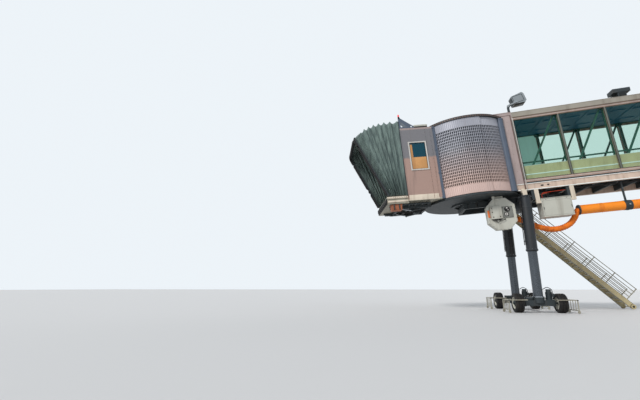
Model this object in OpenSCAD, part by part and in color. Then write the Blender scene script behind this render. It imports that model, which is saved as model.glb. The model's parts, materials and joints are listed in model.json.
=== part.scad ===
// Radial-drive passenger boarding bridge: glazed tunnel, turning cab with folding
// canopy, terminal rotunda, and two lift columns on wheeled axle beams.
// Origin: centre of the rotunda column's base plate, at ground level. +X runs from
// the cab to the terminal, -Y is the side without the stair, +Z is up. Millimetres.

/* [Stance] */
// Fall of the tunnel towards the cab, in degrees
slope = 4.2; // [2:0.1:6]
// Turn of the cab against the tunnel, in degrees
cab_yaw = 11; // [0:1:14]
// Height of the tunnel hinge over the ground
hinge_z = 6040; // [5800:10:6300]

/* [Tunnel] */
// Number of glazed bays
bay_n = 6; // [5:1:6]
// Length of one glazed bay
bay_len = 1910; // [1800:10:2000]
// Length of the closed collar at the hinge end
collar_len = 450; // [400:10:600]
// Distance from the cab axis to the first bay
portal_run = 2150; // [2140:5:2250]
// Width of the tunnel over its side frames
tun_w = 2700; // [2600:10:2700]
// Height of the side frames over the underside of the beams
tun_h = 3500; // [3400:10:3600]
// Height of the side beams
beam_h = 300; // [260:10:330]
// Thickness of the side beams
beam_t = 120; // [90:5:140]
// Depth of the side frames
frame_d = 80; // [60:5:100]
// Width of a mullion
mullion_w = 70; // [50:5:90]
// Height of the sill and head rails of a side frame
rail_h = 130; // [80:5:140]
// Thickness of a pane
pane_t = 24; // [12:2:30]
// Thickness of the roof plate
roof_t = 60; // [40:5:90]
// Height of the roof fascia
fascia_h = 230; // [180:10:260]
// Overhang of the roof over each side frame
eave = 40; // [20:5:60]
// Thickness of the floor plate
floor_t = 60; // [40:5:80]

/* [Cab] */
// Outer radius of the cab's slatted curtain
curtain_r = 2110; // [2090:5:2120]
// Thickness of a curtain
curtain_t = 20; // [14:1:24]
// Width of one curtain slat
slat_w = 155; // [120:5:180]
// Width of the cab over its side walls
cab_w = 2700; // [2600:10:2740]
// Distance from the cab axis to the front of the side walls
cab_front = 3300; // [3250:10:3400]
// Thickness of the cab walls
cab_wall = 45; // [35:5:60]
// Thickness of the turning discs over and under the curtains
disc_t = 110; // [90:5:120]
// Thickness of the cab's roof plate
cab_roof_t = 90; // [70:5:120]
// Distance from the cab's front to the pivots of the canopy's hoop
canopy_run = 880; // [820:10:900]
// Lean of the canopy's front hoop, in degrees
canopy_lean = 24; // [20:1:28]
// Length of the canopy's front hoop
hoop_len = 3180; // [3000:10:3300]
// Number of canopy pleats
pleat_n = 12; // [8:1:14]

/* [Lift and wheels] */
// Distance from the cab axis to the lift columns
column_run = 1950; // [1930:5:2000]
// Distance of a lift column from the tunnel's middle plane
column_y = 1480; // [1470:5:1540]
// Outer radius of the outer lift tube
outer_r = 215; // [205:1:220]
// Outer radius of the inner lift tube
inner_r = 180; // [165:1:190]
// Wall of both lift tubes
tube_wall = 25; // [18:1:30]
// Radius of the tyres
tyre_r = 380; // [360:5:420]
// Width of a tyre
tyre_w = 330; // [260:5:340]
// Distance between the two wheels of one axle beam
wheel_track = 1600; // [1560:10:1700]

/* [Rotunda] */
// Outer radius of the rotunda's curtains
rot_r = 2110; // [2090:5:2120]
// Radius of the rotunda column
post_r = 450; // [400:5:500]
// Side of the square base plate
plate_w = 1900; // [1800:10:2200]
// Thickness of the base plate
plate_t = 50; // [40:5:60]
// Length of the corridor stub on the terminal side
stub_len = 700; // [500:10:800]

/* [Stair] */
// Width of a tread
stair_w = 700; // [650:10:760]
// Number of treads
tread_n = 24; // [20:1:26]
// Height of the handrails over the treads
stair_rail_h = 950; // [900:10:1100]

/* [Hidden] */

gap = 10;          // clearance between moving plates
seat = 0.3;        // running clearance of curved or turning faces
fn_big = 120;
fn_mid = 48;
fn_wheel = 56;

glaze_len = bay_n * bay_len;
axis_run = collar_len + glaze_len + portal_run;
half_w = tun_w / 2;
floor_z = beam_h + floor_t;
hinge_x = -(rot_r + 40);
drum_r = 150;
drum_y = half_w + 20;
drum_d = curtain_r - 19;
drum_run = sqrt(drum_d * drum_d - drum_y * drum_y);
drum_a = atan(drum_y / drum_run);
turn = 28;         // half of the cab's turning range
lap = 2;           // least overlap of two curtain layers, in degrees
lug_r = 90;
pin_r = 40;
drum_reach = drum_r + seat;
// Radius, within a curtain of outer radius r, at which it comes nearest to the drum post
function drum_touch(r, t) = min(r, max(r - t, sqrt(drum_d * drum_d - drum_reach * drum_reach)));
// Angle at which a curtain of outer radius r meets the drum post
function drum_edge(r, t) = let (p = drum_touch(r, t))
  drum_a + acos((p * p + drum_d * drum_d - drum_reach * drum_reach) / (2 * p * drum_d));
swing = 28;        // half of the tunnel's swinging range

module in_tunnel() {
  translate([hinge_x, 0, hinge_z]) rotate([0, -slope, 0]) children();
}

// Frame with its origin on the cab axis at the underside of the side beams
module in_station() {
  in_tunnel() translate([-axis_run, 0, 0]) children();
}

module in_cab() {
  in_station() rotate([0, 0, cab_yaw]) children();
}

module both_sides() {
  children();
  mirror([0, 1, 0]) children();
}

module block(x0, x1, y0, y1, z0, z1) {
  translate([x0, y0, z0]) cube([x1 - x0, y1 - y0, z1 - z0]);
}

// A flat bar between two points of the drawing plane
module bar2d(p, q, w) {
  d = q - p;
  translate(p) rotate(atan2(d[1], d[0])) translate([0, -w / 2]) square([norm(d), w]);
}

// Upright slats round an arc, each a flat plate, from angle a0 to a1
module slat_arc(r, t, a0, a1, z0, z1) {
  n = max(2, round((a1 - a0) * PI / 180 * r / slat_w));
  step = (a1 - a0) / n;
  chord = 2 * r * sin(step / 2);
  translate([0, 0, z0]) linear_extrude(z1 - z0)
    polygon(concat(
      [for (i = [0:n]) r * [cos(a0 + i * step), sin(a0 + i * step)]],
      [for (i = [n:-1:0]) (r - t) * [cos(a0 + i * step), sin(a0 + i * step)]]));
}

/* Rotunda */
anchor_n = 8;
anchor_pcd = 1500;
anchor_r = 22;
floor_level = hinge_z + floor_z;
rot_floor_t = 160;
rot_top = hinge_z + tun_h + gap;

module base_plate() {
  color("dimgray") difference() {
    translate([-plate_w / 2, -plate_w / 2, 0]) cube([plate_w, plate_w, plate_t]);
    for (i = [0:anchor_n - 1]) rotate((i + 0.5) * 360 / anchor_n)
      translate([anchor_pcd / 2, 0, -1]) cylinder(h = plate_t + 2, r = anchor_r, $fn = fn_mid);
  }
}

column_wall = 25;
gusset_n = 8;
gusset_h = 500;
gusset_t = 25;
slew_r = 720;
slew_h = 260;
slew_z = hinge_z - 250 - slew_h;

module rotunda_column() {
  top = floor_level - rot_floor_t;
  color("lightgray") union() {
    difference() {
      translate([0, 0, plate_t]) cylinder(h = top - plate_t, r = post_r, $fn = fn_big);
      translate([0, 0, plate_t - 1])
        cylinder(h = top - plate_t + 2, r = post_r - column_wall, $fn = fn_big);
    }
    for (i = [0:gusset_n - 1]) rotate([90, 0, i * 360 / gusset_n])
      translate([0, 0, -gusset_t / 2]) linear_extrude(gusset_t)
        polygon([[post_r - 5, plate_t], [post_r + 260, plate_t], [post_r - 5, plate_t + gusset_h]]);
    translate([0, 0, slew_z - 60]) difference() {
      cylinder(h = 60 - seat, r = slew_r, $fn = fn_big);
      translate([0, 0, -1]) cylinder(h = 62, r = post_r - 5, $fn = fn_big);
    }
  }
}

module rotunda_floor() {
  color("gray") union() {
    z0 = floor_level - rot_floor_t;
    x1 = drum_run + drum_r + gap;
    translate([0, 0, z0]) cylinder(h = rot_floor_t, r = drum_d - drum_r - 5, $fn = fn_big);
    block(0, x1, -drum_y + drum_r + 5, drum_y - drum_r - 5, z0, floor_level);
    block(x1, rot_r + stub_len, -half_w + cab_wall, half_w - cab_wall, z0, floor_level);
  }
}

module rotunda_roof() {
  color("silver") union() {
    translate([0, 0, rot_top + gap]) cylinder(h = 90, r = rot_r + 10, $fn = fn_big);
    translate([0, 0, rot_top + gap + 90]) rotate_extrude($fn = fn_big)
      polygon([[0, 0], [rot_r - 60, 0], [rot_r - 260, 90], [0, 210]]);
  }
}

module terminal_portal() {
  x0 = drum_run + drum_r - 20;
  x1 = rot_r + stub_len;
  z0 = floor_level - rot_floor_t;
  z1 = rot_top + gap;
  color("lightgray") union() {
    both_sides() {
      translate([drum_run, drum_y, z0]) cylinder(h = z1 - z0, r = drum_r, $fn = fn_mid);
      block(x0, x1, half_w - cab_wall, half_w, z0 - cab_wall, z1);
    }
    block(rot_r + 30, x1, -half_w + cab_wall, half_w - cab_wall, z0 - cab_wall, z0);
    block(rot_r + 30, x1, -half_w + cab_wall, half_w - cab_wall, z1 - 150, z1);
  }
}

hinge_run = 1640;
hinge_post_w = 160;
wiper_t = 12;
wiper_len = 470;
lift_up = 2;       // how far the tunnel tilts up and down from here, in degrees
swing_r = rot_r - curtain_t - 15;
swing_edge = 180 - acos(hinge_run / swing_r) - 0.02;
portal_edge = 180 - atan(half_w / hinge_run);

module rotunda_curtains() {
  color("darkgray") both_sides() slat_arc(rot_r, curtain_t, drum_edge(rot_r, curtain_t),
    portal_edge - swing - 3, floor_level - rot_floor_t, rot_top + gap);
}

module hinge_portal() {
  x0 = hinge_x + 30;
  z0 = hinge_z - 250;
  color("slategray") difference() {
    union() {
      both_sides() block(x0, -hinge_run, half_w - hinge_post_w, half_w, z0, rot_top);
      block(x0, -hinge_run, -half_w + hinge_post_w, half_w - hinge_post_w, rot_top - 250, rot_top);
      block(x0, -hinge_run, -half_w + hinge_post_w, half_w - hinge_post_w, z0, z0 + 130);
      both_sides() {
        block(x0, -hinge_run, half_w, half_w + gap, hinge_z - 60, rot_top);
        block(x0 - wiper_len, -hinge_run, half_w + gap, half_w + gap + wiper_t, hinge_z - 60, rot_top);
      }
      block(x0 - wiper_len, x0, -half_w - gap, half_w + gap, rot_top - wiper_t, rot_top);
      both_sides() {
        translate([hinge_x, half_w - 200, hinge_z]) rotate([-90, 0, 0])
          cylinder(h = 160, r = lug_r, $fn = fn_mid);
        block(hinge_x, x0 + 20, half_w - 200, half_w - 40, hinge_z - lug_r, hinge_z + lug_r);
      }
    }
    both_sides() translate([hinge_x, half_w - 210, hinge_z]) rotate([-90, 0, 0])
      cylinder(h = 200, r = pin_r + seat, $fn = fn_mid);
  }
}

module sliding_curtains() {
  a0 = drum_edge(rot_r, curtain_t) + swing + lap;
  color("silver") both_sides() slat_arc(swing_r, curtain_t, a0, swing_edge, hinge_z - 30,
    rot_top - gap);
}

arm_y = 300;
arm_w = 180;

module slew_arm() {
  z1 = slew_z + slew_h;
  color("dimgray") difference() {
    union() {
      translate([0, 0, slew_z]) cylinder(h = slew_h, r = slew_r, $fn = fn_big);
      both_sides() block(-hinge_run - 200, 0, arm_y, arm_y + arm_w, slew_z, z1);
      block(-hinge_run - 200, -hinge_run, -half_w, half_w, slew_z, z1);
    }
    translate([0, 0, slew_z - 1]) cylinder(h = slew_h + 2, r = post_r + 5, $fn = fn_big);
  }
}

/* Tunnel */
module side_beams() {
  x0 = drum_run + drum_r + 20;
  x1 = axis_run - 120;
  y1 = half_w - beam_t;
  y0 = half_w - 205;
  color("wheat") both_sides() union() {
    block(x0, x1, y1, half_w - 20, 0, beam_h);
    block(x0, x1, y1, half_w, 0, 40);
    block(x0, x1, y1, half_w, beam_h - 30, beam_h);
    translate([axis_run, y0 - 60, 0]) rotate([-90, 0, 0]) cylinder(h = 60, r = lug_r, $fn = fn_mid);
    translate([axis_run, y0 - 30, 0]) rotate([-90, 0, 0]) cylinder(h = 205, r = pin_r, $fn = fn_mid);
    block(axis_run - 300, axis_run, y0 - 60, y0, -lug_r, lug_r);
    block(axis_run - 300, axis_run - 200, y0 - 60, y1, 0, lug_r);
  }
}

module cross_members() {
  color("darkslategray") for (i = [0:2 * bay_n])
    block(portal_run + i * bay_len / 2 - 40, portal_run + i * bay_len / 2 + 40,
      -half_w + beam_t, half_w - beam_t, 40, beam_h);
}

// Floor plate, with a tongue between the drum posts that ends round the cab's deck
module tunnel_floor() {
  x0 = ceil(drum_run + drum_r) + gap;
  y0 = drum_y - drum_r - 5;
  y1 = half_w - cab_wall;
  color("gray") union() {
    block(portal_run, axis_run - 120, -half_w, half_w, beam_h, floor_z);
    difference() {
      union() {
        block(x0, portal_run, -y1, y1, beam_h, floor_z);
        block(drum_run - drum_r, x0, -y0, y0, beam_h, floor_z);
      }
      translate([0, 0, beam_h - 1]) cylinder(h = floor_t + 2, r = deck_r + gap, $fn = fn_big);
    }
  }
}

module tunnel_roof() {
  x1 = axis_run - 320;
  color("lightgray") union() {
    block(portal_run, x1, -half_w - eave, half_w + eave, tun_h, tun_h + roof_t);
    both_sides() block(portal_run, x1, half_w + eave - 30, half_w + eave, tun_h + roof_t,
      tun_h + fascia_h);
    translate([portal_run, 0, tun_h + roof_t]) rotate([90, 0, 90]) linear_extrude(x1 - portal_run)
      polygon([[-half_w + 60, 0], [half_w - 60, 0], [half_w - 260, 110], [-half_w + 260, 110]]);
  }
}

// Side frame drawn in its own plane: x along the tunnel, y up
module frame2d(first) {
  difference() {
    translate([portal_run, floor_z]) square([glaze_len, tun_h - floor_z]);
    for (i = [first:bay_n - 1])
      translate([portal_run + i * bay_len + mullion_w / 2, floor_z + rail_h])
        square([bay_len - mullion_w, tun_h - floor_z - 2 * rail_h]);
  }
}

module upright(y0, t) {
  translate([0, y0 + t, 0]) rotate([90, 0, 0]) linear_extrude(t) children();
}

module near_frame() {
  color("tan") upright(-half_w, frame_d) frame2d(0);
}

door_w = 900;
door_h = 2150;
door_run = portal_run + 300;

module far_frame() {
  color("tan") difference() {
    upright(half_w - frame_d, frame_d) frame2d(1);
    block(door_run, door_run + door_w, half_w - frame_d - 1, half_w + 1, floor_z - 1,
      floor_z + door_h);
  }
}

module panes(first) {
  for (i = [first:bay_n - 1])
    translate([portal_run + i * bay_len + mullion_w / 2, floor_z + rail_h])
      square([bay_len - mullion_w, tun_h - floor_z - 2 * rail_h]);
}

module near_glass() {
  color("teal") upright(-half_w + 20, pane_t) panes(0);
}

module far_glass() {
  color("teal") upright(half_w - 20 - pane_t, pane_t) panes(1);
}

hand_z = 1290;
kick_z = 640;
hand_h = 60;
rail_t = 50;
truss_t = 70;
truss_w = 90;
brace_w = 72;
truss_y = half_w - frame_d - 60 - truss_t;

// Braced side girder: chords, posts and one diagonal a bay from bay number first on
module truss2d(first) {
  z0 = floor_z + truss_w / 2;
  z1 = tun_h - truss_w / 2;
  xe = portal_run + glaze_len;
  bar2d([portal_run, z0], [xe, z0], truss_w);
  bar2d([portal_run, z1], [xe, z1], truss_w);
  for (i = [0:bay_n]) {
    x = min(max(portal_run + i * bay_len, portal_run + truss_w / 2), xe - truss_w / 2);
    bar2d([x, z0], [x, z1], truss_w);
  }
  for (i = [first:bay_n - 1]) {
    x = portal_run + i * bay_len;
    bar2d([x + truss_w, z0], [x + bay_len - truss_w, z1], brace_w);
  }
}

module near_truss() {
  color("darkgreen") upright(-truss_y - truss_t, truss_t) truss2d(0);
}

module far_truss() {
  color("darkgreen") upright(truss_y, truss_t) truss2d(1);
}

module handrails() {
  x1 = portal_run + glaze_len;
  color("khaki") for (z = [kick_z, hand_z]) {
    block(portal_run, x1, -truss_y, -truss_y + rail_t, z, z + hand_h);
    block(door_run + door_w + 60, x1, truss_y - rail_t, truss_y, z, z + hand_h);
  }
}

panel_t = 20;
panel_h = 770;

// Kick panels between the girders and the side frames
module wainscots() {
  x1 = portal_run + glaze_len;
  y = truss_y + truss_t + 15;
  color("olive") union() {
    block(portal_run, x1, -y - panel_t, -y, floor_z, floor_z + panel_h);
    block(portal_run + bay_len, x1, y, y + panel_t, floor_z, floor_z + panel_h);
  }
}

// Closed end of the tunnel, cut on a slant so that it stays clear of the portal when it tilts
module hinge_collar() {
  x0 = portal_run + glaze_len;
  x1 = axis_run - 120;
  x2 = x1 + tun_h * tan(slope - lift_up - 0.2);
  color("lightgray") difference() {
    upright(-half_w, tun_w)
      polygon([[x0, floor_z], [x1, floor_z], [x2, tun_h - gap], [x0, tun_h - gap]]);
    block(x0 - 1, x2 + 1, -half_w + cab_wall, half_w - cab_wall, floor_z - 1,
      tun_h - gap - cab_wall);
  }
}

portal_head = 500;

// Closed panels from the drum posts to the first bay, and a head plate between them
module cab_portal() {
  x0 = floor(drum_run + drum_r / 2);
  color("rosybrown") union() {
    both_sides() difference() {
      block(x0, portal_run, half_w - cab_wall, half_w, beam_h, tun_h);
      translate([drum_run, drum_y, beam_h - 1])
        cylinder(h = tun_h, r = drum_r + seat, $fn = fn_mid);
    }
    block(portal_run - 18, portal_run, -half_w + cab_wall, half_w - cab_wall,
      tun_h - portal_head, tun_h);
  }
}

module drum_posts() {
  color("slategray") both_sides() translate([drum_run, drum_y, 0])
    cylinder(h = tun_h, r = drum_r, $fn = fn_mid);
}

cover_run = 400;
cover_t = 160;
cover_z = tun_h + gap + disc_t + gap;

module roof_transition() {
  color("silver") union() {
    block(cover_run, portal_run, -half_w, half_w, cover_z, cover_z + cover_t);
    both_sides() block(floor(drum_run + drum_r) - 30, portal_run, half_w - cab_wall, half_w, tun_h,
      cover_z);
  }
}

inner_r_curtain = curtain_r - curtain_t - 18;
// Ends of the cab's own curtain and of the fixed one behind it, from the tunnel's line
cab_edge = drum_edge(curtain_r, curtain_t) + turn + 0.8;
inner_edge = cab_edge + turn + lap;

module inner_curtains() {
  color("darkgray") both_sides() slat_arc(inner_r_curtain, curtain_t,
    drum_edge(inner_r_curtain, curtain_t), inner_edge, gap, tun_h);
}

bearer_y = 700;
bearer_run = 1660;
bearer_h = 260;
ring_r = 900;
ring_h = 60;
disc_z = -disc_t - gap;
deck_r = drum_d - drum_r - gap;
deck_t = 60;
deck_z = floor_z - 30 - deck_t;

module cab_bearer() {
  z1 = disc_z - seat;
  z2 = z1 - ring_h;
  z3 = z2 - bearer_h;
  xe = portal_run + bearer_run;
  ye = half_w - 20;
  color("darkslategray") difference() {
    union() {
      both_sides() block(-500, xe, bearer_y - 60, bearer_y + 60, z3, z2);
      block(-500, -380, -bearer_y, bearer_y, z3, z2);
      for (x = [portal_run + 130, xe - 120]) {
        block(x, x + 120, -ye, ye, z3, z2);
        both_sides() block(x, x + 120, half_w - beam_t, ye, z2, 0);
      }
      translate([0, 0, z2]) cylinder(h = ring_h, r = ring_r, $fn = fn_big);
    }
    translate([0, 0, z2 - 1]) cylinder(h = ring_h + 2, r = ring_r - 160, $fn = fn_big);
  }
}

trunnion_z = -150;
cheek_t = 20;
cheek_gap = 35;
box_run = 650;
box_len = 1180;
box_x0 = column_run + box_run;
box_x1 = box_x0 + box_len;
box_top = -450;
box_h = 800;
strap_w = 170;
strap_foot = 90;
strap_in = 30;

// Trunnion brackets of the lift columns, and footed straps beside the equipment box
module hangers() {
  x0 = column_run - lug_r;
  x1 = column_run + lug_r;
  color("wheat") union() {
    both_sides() {
      block(x0, x1, half_w - beam_t, column_y + cheek_gap + cheek_t, -40, 0);
      block(x0 + 20, x1 - 20, half_w, half_w + 25, 0, 90);
      for (y = [column_y - cheek_gap - cheek_t, column_y + cheek_gap])
        block(x0, x1, y, y + cheek_t, trunnion_z - lug_r, -40);
      translate([column_run, column_y - cheek_gap - 5, trunnion_z]) rotate([-90, 0, 0])
        cylinder(h = 2 * cheek_gap + 10, r = pin_r, $fn = fn_mid);
    }
    for (x = [box_x0 - strap_in - strap_w, box_x1 + strap_in])
      block(x, x + strap_w, -half_w, -half_w + 100, box_top - 2 * strap_foot, 0);
    for (x = [box_x0 - strap_in, box_x1])
      block(x, x + strap_in, -half_w, -half_w + 100, box_top - 2 * strap_foot,
        box_top - strap_foot);
  }
}

module service_door() {
  color("lightgray") block(door_run, door_run + door_w, half_w - 60, half_w - 20, floor_z,
    floor_z + door_h);
}

/* Landing and stair */
land_y0 = half_w;
land_y1 = 3040;
land_x0 = 850;
land_x1 = 1880;
stair_x = land_x1 + 120;
stair_y = land_y1 - stair_w / 2 - 60;
land_z = floor_z - 60;
land_t = 80;
walk_w = 700;
stair_hz = land_z - 60;
stringer_h = 200;
stringer_t = 40;
hinge_pin = 20;

module landing() {
  color("gainsboro") union() {
    difference() {
      union() {
        block(land_x0, land_x1, land_y0, land_y1, land_z - land_t, land_z);
        block(land_x1, door_run + door_w + 60, land_y0, land_y0 + walk_w, land_z - land_t, land_z);
      }
      translate([0, 0, land_z - land_t - 1])
        cylinder(h = land_t + 2, r = curtain_r + 110, $fn = fn_big);
      translate([drum_run, drum_y, land_z - land_t - 1])
        cylinder(h = land_t + 2, r = drum_r + 5, $fn = fn_mid);
    }
    for (y = [stair_y - stair_w / 2 + 5, stair_y + stair_w / 2 - 35]) {
      block(land_x1 - 10, stair_x, y, y + 30, stair_hz - 50, land_z - 5);
      translate([stair_x, y, stair_hz]) rotate([-90, 0, 0]) cylinder(h = 30, r = 50, $fn = fn_mid);
    }
    for (y = [stair_y - stair_w / 2 - stringer_t - 5, stair_y + stair_w / 2 - 30])
      translate([stair_x, y, stair_hz]) rotate([-90, 0, 0])
        cylinder(h = stringer_t + 35, r = hinge_pin, $fn = 24);
    block(drum_run + 220, drum_run + 300, land_y0, land_y0 + walk_w, land_z - land_t - 120,
      land_z - land_t);
    block(door_run + door_w - 40, door_run + door_w + 40, land_y0, land_y0 + walk_w,
      land_z - land_t - 120, land_z - land_t);
  }
}

rail_d = 42;
rail_tube = 36;

module post(x, y, z0, h) {
  translate([x, y, z0]) cylinder(h = h, r = rail_d / 2, $fn = 16);
}

module rail_x(x0, x1, y, z) {
  translate([x0, y, z]) rotate([0, 90, 0]) cylinder(h = x1 - x0, r = rail_tube / 2, $fn = 16);
}

module rail_y(x, y0, y1, z) {
  translate([x, y0, z]) rotate([-90, 0, 0]) cylinder(h = y1 - y0, r = rail_tube / 2, $fn = 16);
}

module landing_rails() {
  x0 = land_x0 + 40;
  x1 = land_x1 - 60;
  x2 = door_run + door_w;
  y0 = 2290;
  y1 = land_y1 - 40;
  y2 = land_y0 + walk_w - 40;
  h = 1050;
  color("gainsboro") union() {
    for (x = [x0, x1]) post(x, y1, land_z, h);
    post(x0, y0, land_z, h);
    post(land_x1 + 100, y2, land_z, h);
    post(x2, y2, land_z, h);
    for (k = [0.5, 1]) {
      rail_x(x0, x1, y1, land_z + k * h - rail_d / 2);
      rail_y(x0, y0, y1, land_z + k * h - rail_d / 2);
      rail_x(land_x1 + 100, x2, y2, land_z + k * h - rail_d / 2);
      rail_y(x2, half_w, y2, land_z + k * h - rail_d / 2);
    }
  }
}

// World frame of the stair: origin on its hinge, x down the flight, z square to it
stair_dx = stair_x - axis_run;
stair_dz = stair_hz;
stair_px = hinge_x + stair_dx * cos(slope) - stair_dz * sin(slope);
stair_pz = hinge_z + stair_dx * sin(slope) + stair_dz * cos(slope);
stair_pitch = 45;
foot_r = 110;
stair_len = (stair_pz - foot_r) / sin(stair_pitch);

module in_stair() {
  translate([stair_px, 0, stair_pz]) rotate([0, stair_pitch, 0]) children();
}

tread_d = 230;
tread_t = 35;
rail_n = 4;

module stair_stringers() {
  y0 = stair_y - stair_w / 2;
  w = stair_w + 2 * stringer_t;
  color("gainsboro") in_stair() difference() {
    union() {
      for (y = [y0 - stringer_t, y0 + stair_w]) {
        translate([0, y + stringer_t, 0]) rotate([90, 0, 0]) linear_extrude(stringer_t)
          polygon([[0, -70], [160, -stringer_h / 2], [stair_len, -stringer_h / 2],
            [stair_len + 70, -30], [stair_len + 70, 30], [stair_len, stringer_h / 2],
            [160, stringer_h / 2], [0, 70]]);
        translate([0, y, 0]) rotate([-90, 0, 0]) cylinder(h = stringer_t, r = 70, $fn = fn_mid);
      }
      translate([stair_len, y0 - stringer_t - 60, 0]) rotate([-90, 0, 0])
        cylinder(h = w + 120, r = hinge_pin, $fn = 24);
      for (y = [y0 - stringer_t - 60, y0 + stair_w + stringer_t + 5])
        translate([stair_len, y, 0]) rotate([-90, 0, 0]) cylinder(h = 55, r = foot_r, $fn = fn_mid);
    }
    translate([0, y0 - stringer_t - 1, 0]) rotate([-90, 0, 0])
      cylinder(h = w + 2, r = hinge_pin + seat, $fn = 24);
  }
}

module stair_treads() {
  y0 = stair_y - stair_w / 2;
  rise = stair_len * sin(stair_pitch) / (tread_n + 1);
  color("silver") for (i = [1:tread_n]) {
    x = stair_px + (i * rise) / tan(stair_pitch);
    z = stair_pz - i * rise;
    block(x - tread_d / 2, x + tread_d / 2, y0, y0 + stair_w, z - tread_t / 2, z + tread_t / 2);
  }
}

module stair_rails() {
  y0 = stair_y - stair_w / 2 - stringer_t / 2;
  y1 = stair_y + stair_w / 2 + stringer_t / 2;
  n = 6;
  first = 500;
  last = stair_len - 350;
  color("gainsboro") in_stair() union() {
    for (y = [y0, y1]) {
      for (k = [1:rail_n])
        rail_x(first, last, y, stringer_h / 2 + k / rail_n * stair_rail_h * sin(stair_pitch));
      for (i = [0:n]) let (x = first + 30 + i * (last - first - 60) / n)
        post(x, y, stringer_h / 2, stair_rail_h * sin(stair_pitch) + rail_d / 2);
    }
  }
}

/* Lift columns, axle beams and wheels */
col_dx = column_run - axis_run;
col_px = hinge_x + col_dx * cos(slope) - trunnion_z * sin(slope);
col_pz = hinge_z + col_dx * sin(slope) + trunnion_z * cos(slope);
tube_top = col_pz - 170;
cross_top = col_pz - 360;
cross_w = 300;
cross_h = 240;
outer_bottom = 2500;
inner_bottom = 640;
inner_top = 4050;

module at_column() {
  translate([col_px, 0, 0]) children();
}

module lift_tubes() {
  color("darkslategray") at_column() both_sides() difference() {
    union() {
      translate([0, column_y, outer_bottom])
        cylinder(h = tube_top - outer_bottom, r = outer_r, $fn = fn_mid);
      translate([0, column_y, tube_top]) cylinder(h = 40, r = outer_r + 35, $fn = fn_mid);
      translate([0, column_y, outer_bottom]) cylinder(h = 60, r = outer_r + 20, $fn = fn_mid);
      block(-lug_r, lug_r, column_y - 30, column_y + 30, tube_top + 30, col_pz);
      translate([0, column_y - 30, col_pz]) rotate([-90, 0, 0])
        cylinder(h = 60, r = lug_r, $fn = fn_mid);
      block(-cross_w / 2, cross_w / 2, 0, column_y, cross_top - cross_h, cross_top);
    }
    translate([0, column_y, outer_bottom - 1])
      cylinder(h = tube_top - outer_bottom - 40, r = inner_r + seat, $fn = fn_mid);
    translate([0, column_y - 31, col_pz]) rotate([-90, 0, 0])
      cylinder(h = 62, r = pin_r + seat, $fn = fn_mid);
  }
}

module inner_tubes() {
  h = inner_top - inner_bottom;
  color("lightslategray") at_column() both_sides() translate([0, column_y, inner_bottom])
    difference() {
      cylinder(h = h, r = inner_r, $fn = fn_mid);
      translate([0, 0, -1]) cylinder(h = h + 2, r = inner_r - tube_wall, $fn = fn_mid);
    }
}

axle_z = tyre_r;
axle_r = 45;
beam_len = wheel_track - tyre_w - 120;
beam_w = 260;
axle_beam_h = 220;
motor_r = 115;
motor_h = 340;
motor_run = wheel_track / 2 - 400;

// Drive motor, upright on its flange, with a narrower brake on top
module motor() {
  translate([-motor_r, -motor_r, 0]) cube([2 * motor_r, 2 * motor_r, 30]);
  cylinder(h = motor_h, r = motor_r - 10, $fn = fn_mid);
  translate([0, 0, motor_h]) cylinder(h = 80, r = motor_r - 35, $fn = fn_mid);
}

module axle_beams() {
  y0 = column_y - beam_w / 2;
  z1 = axle_z + axle_beam_h / 2;
  color("darkslategray") at_column() union() {
    both_sides() difference() {
      union() {
        block(-beam_len / 2, beam_len / 2, y0, y0 + beam_w, axle_z - axle_beam_h / 2, z1);
        translate([0, column_y, axle_z])
          cylinder(h = inner_bottom - axle_z, r = inner_r + 40, $fn = fn_mid);
        translate([motor_run, column_y, z1]) motor();
      }
      translate([-beam_len, column_y, axle_z]) rotate([0, 90, 0])
        cylinder(h = 2 * beam_len, r = axle_r + seat, $fn = fn_mid);
    }
    block(-90, 90, -y0, y0, axle_z - 80, axle_z + 80);
  }
}

guard_y = 430;
guard_run = 280;
guard_z = axle_z + axle_beam_h / 2 + rail_tube / 2 + seat;

// Bumper hoops round the outer face of each tyre, carried by the end of the axle beam
module wheel_guards() {
  x0 = wheel_track / 2 + tyre_w / 2 + guard_run;
  x1 = beam_len / 2 - rail_d / 2;
  color("gold") at_column() both_sides() for (s = [0, 1]) mirror([s, 0, 0]) {
    for (y = [column_y - guard_y, column_y + guard_y]) {
      post(x0, y, 60, guard_z - 60);
      rail_x(x1, x0, y, guard_z);
    }
    for (z = [120, guard_z]) rail_y(x0, column_y - guard_y, column_y + guard_y, z);
    rail_y(x1, column_y - guard_y, column_y + guard_y, guard_z);
  }
}

rim_r = 230;
hub_r = 115;

// Half section of a wheel, its inner face at y = 0: tyre, dished rim and hub
module wheel2d() {
  polygon([[axle_r - 1, 40], [rim_r, 40], [rim_r, 8], [tyre_r - 50, 0], [tyre_r - 12, 14],
    [tyre_r, 48], [tyre_r, tyre_w - 48], [tyre_r - 12, tyre_w - 14], [tyre_r - 50, tyre_w],
    [rim_r, tyre_w - 8], [rim_r - 22, tyre_w - 90], [hub_r + 12, tyre_w - 118],
    [hub_r, tyre_w - 40], [axle_r - 1, tyre_w - 40]]);
}

module wheel_set() {
  x0 = wheel_track / 2 - tyre_w / 2;
  translate([0, 0, axle_z]) rotate([0, 90, 0]) union() {
    translate([0, 0, -wheel_track / 2 - tyre_w / 2 - 20])
      cylinder(h = wheel_track + tyre_w + 40, r = axle_r, $fn = fn_mid);
    for (s = [0, 1]) mirror([0, 0, s]) translate([0, 0, x0]) rotate_extrude($fn = fn_wheel)
      wheel2d();
  }
}

module near_wheels() {
  color("dimgray") at_column() translate([0, -column_y, 0]) wheel_set();
}

module far_wheels() {
  color("dimgray") at_column() translate([0, column_y, 0]) wheel_set();
}

/* Equipment under and on the tunnel */
housing_x = 300;
housing_w = 1180;
housing_h = 1400;
housing_c = 330;
housing_z = -1640;
housing_y = -990;

housing_front = -half_w - 60;
housing_lip = 40;

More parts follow.
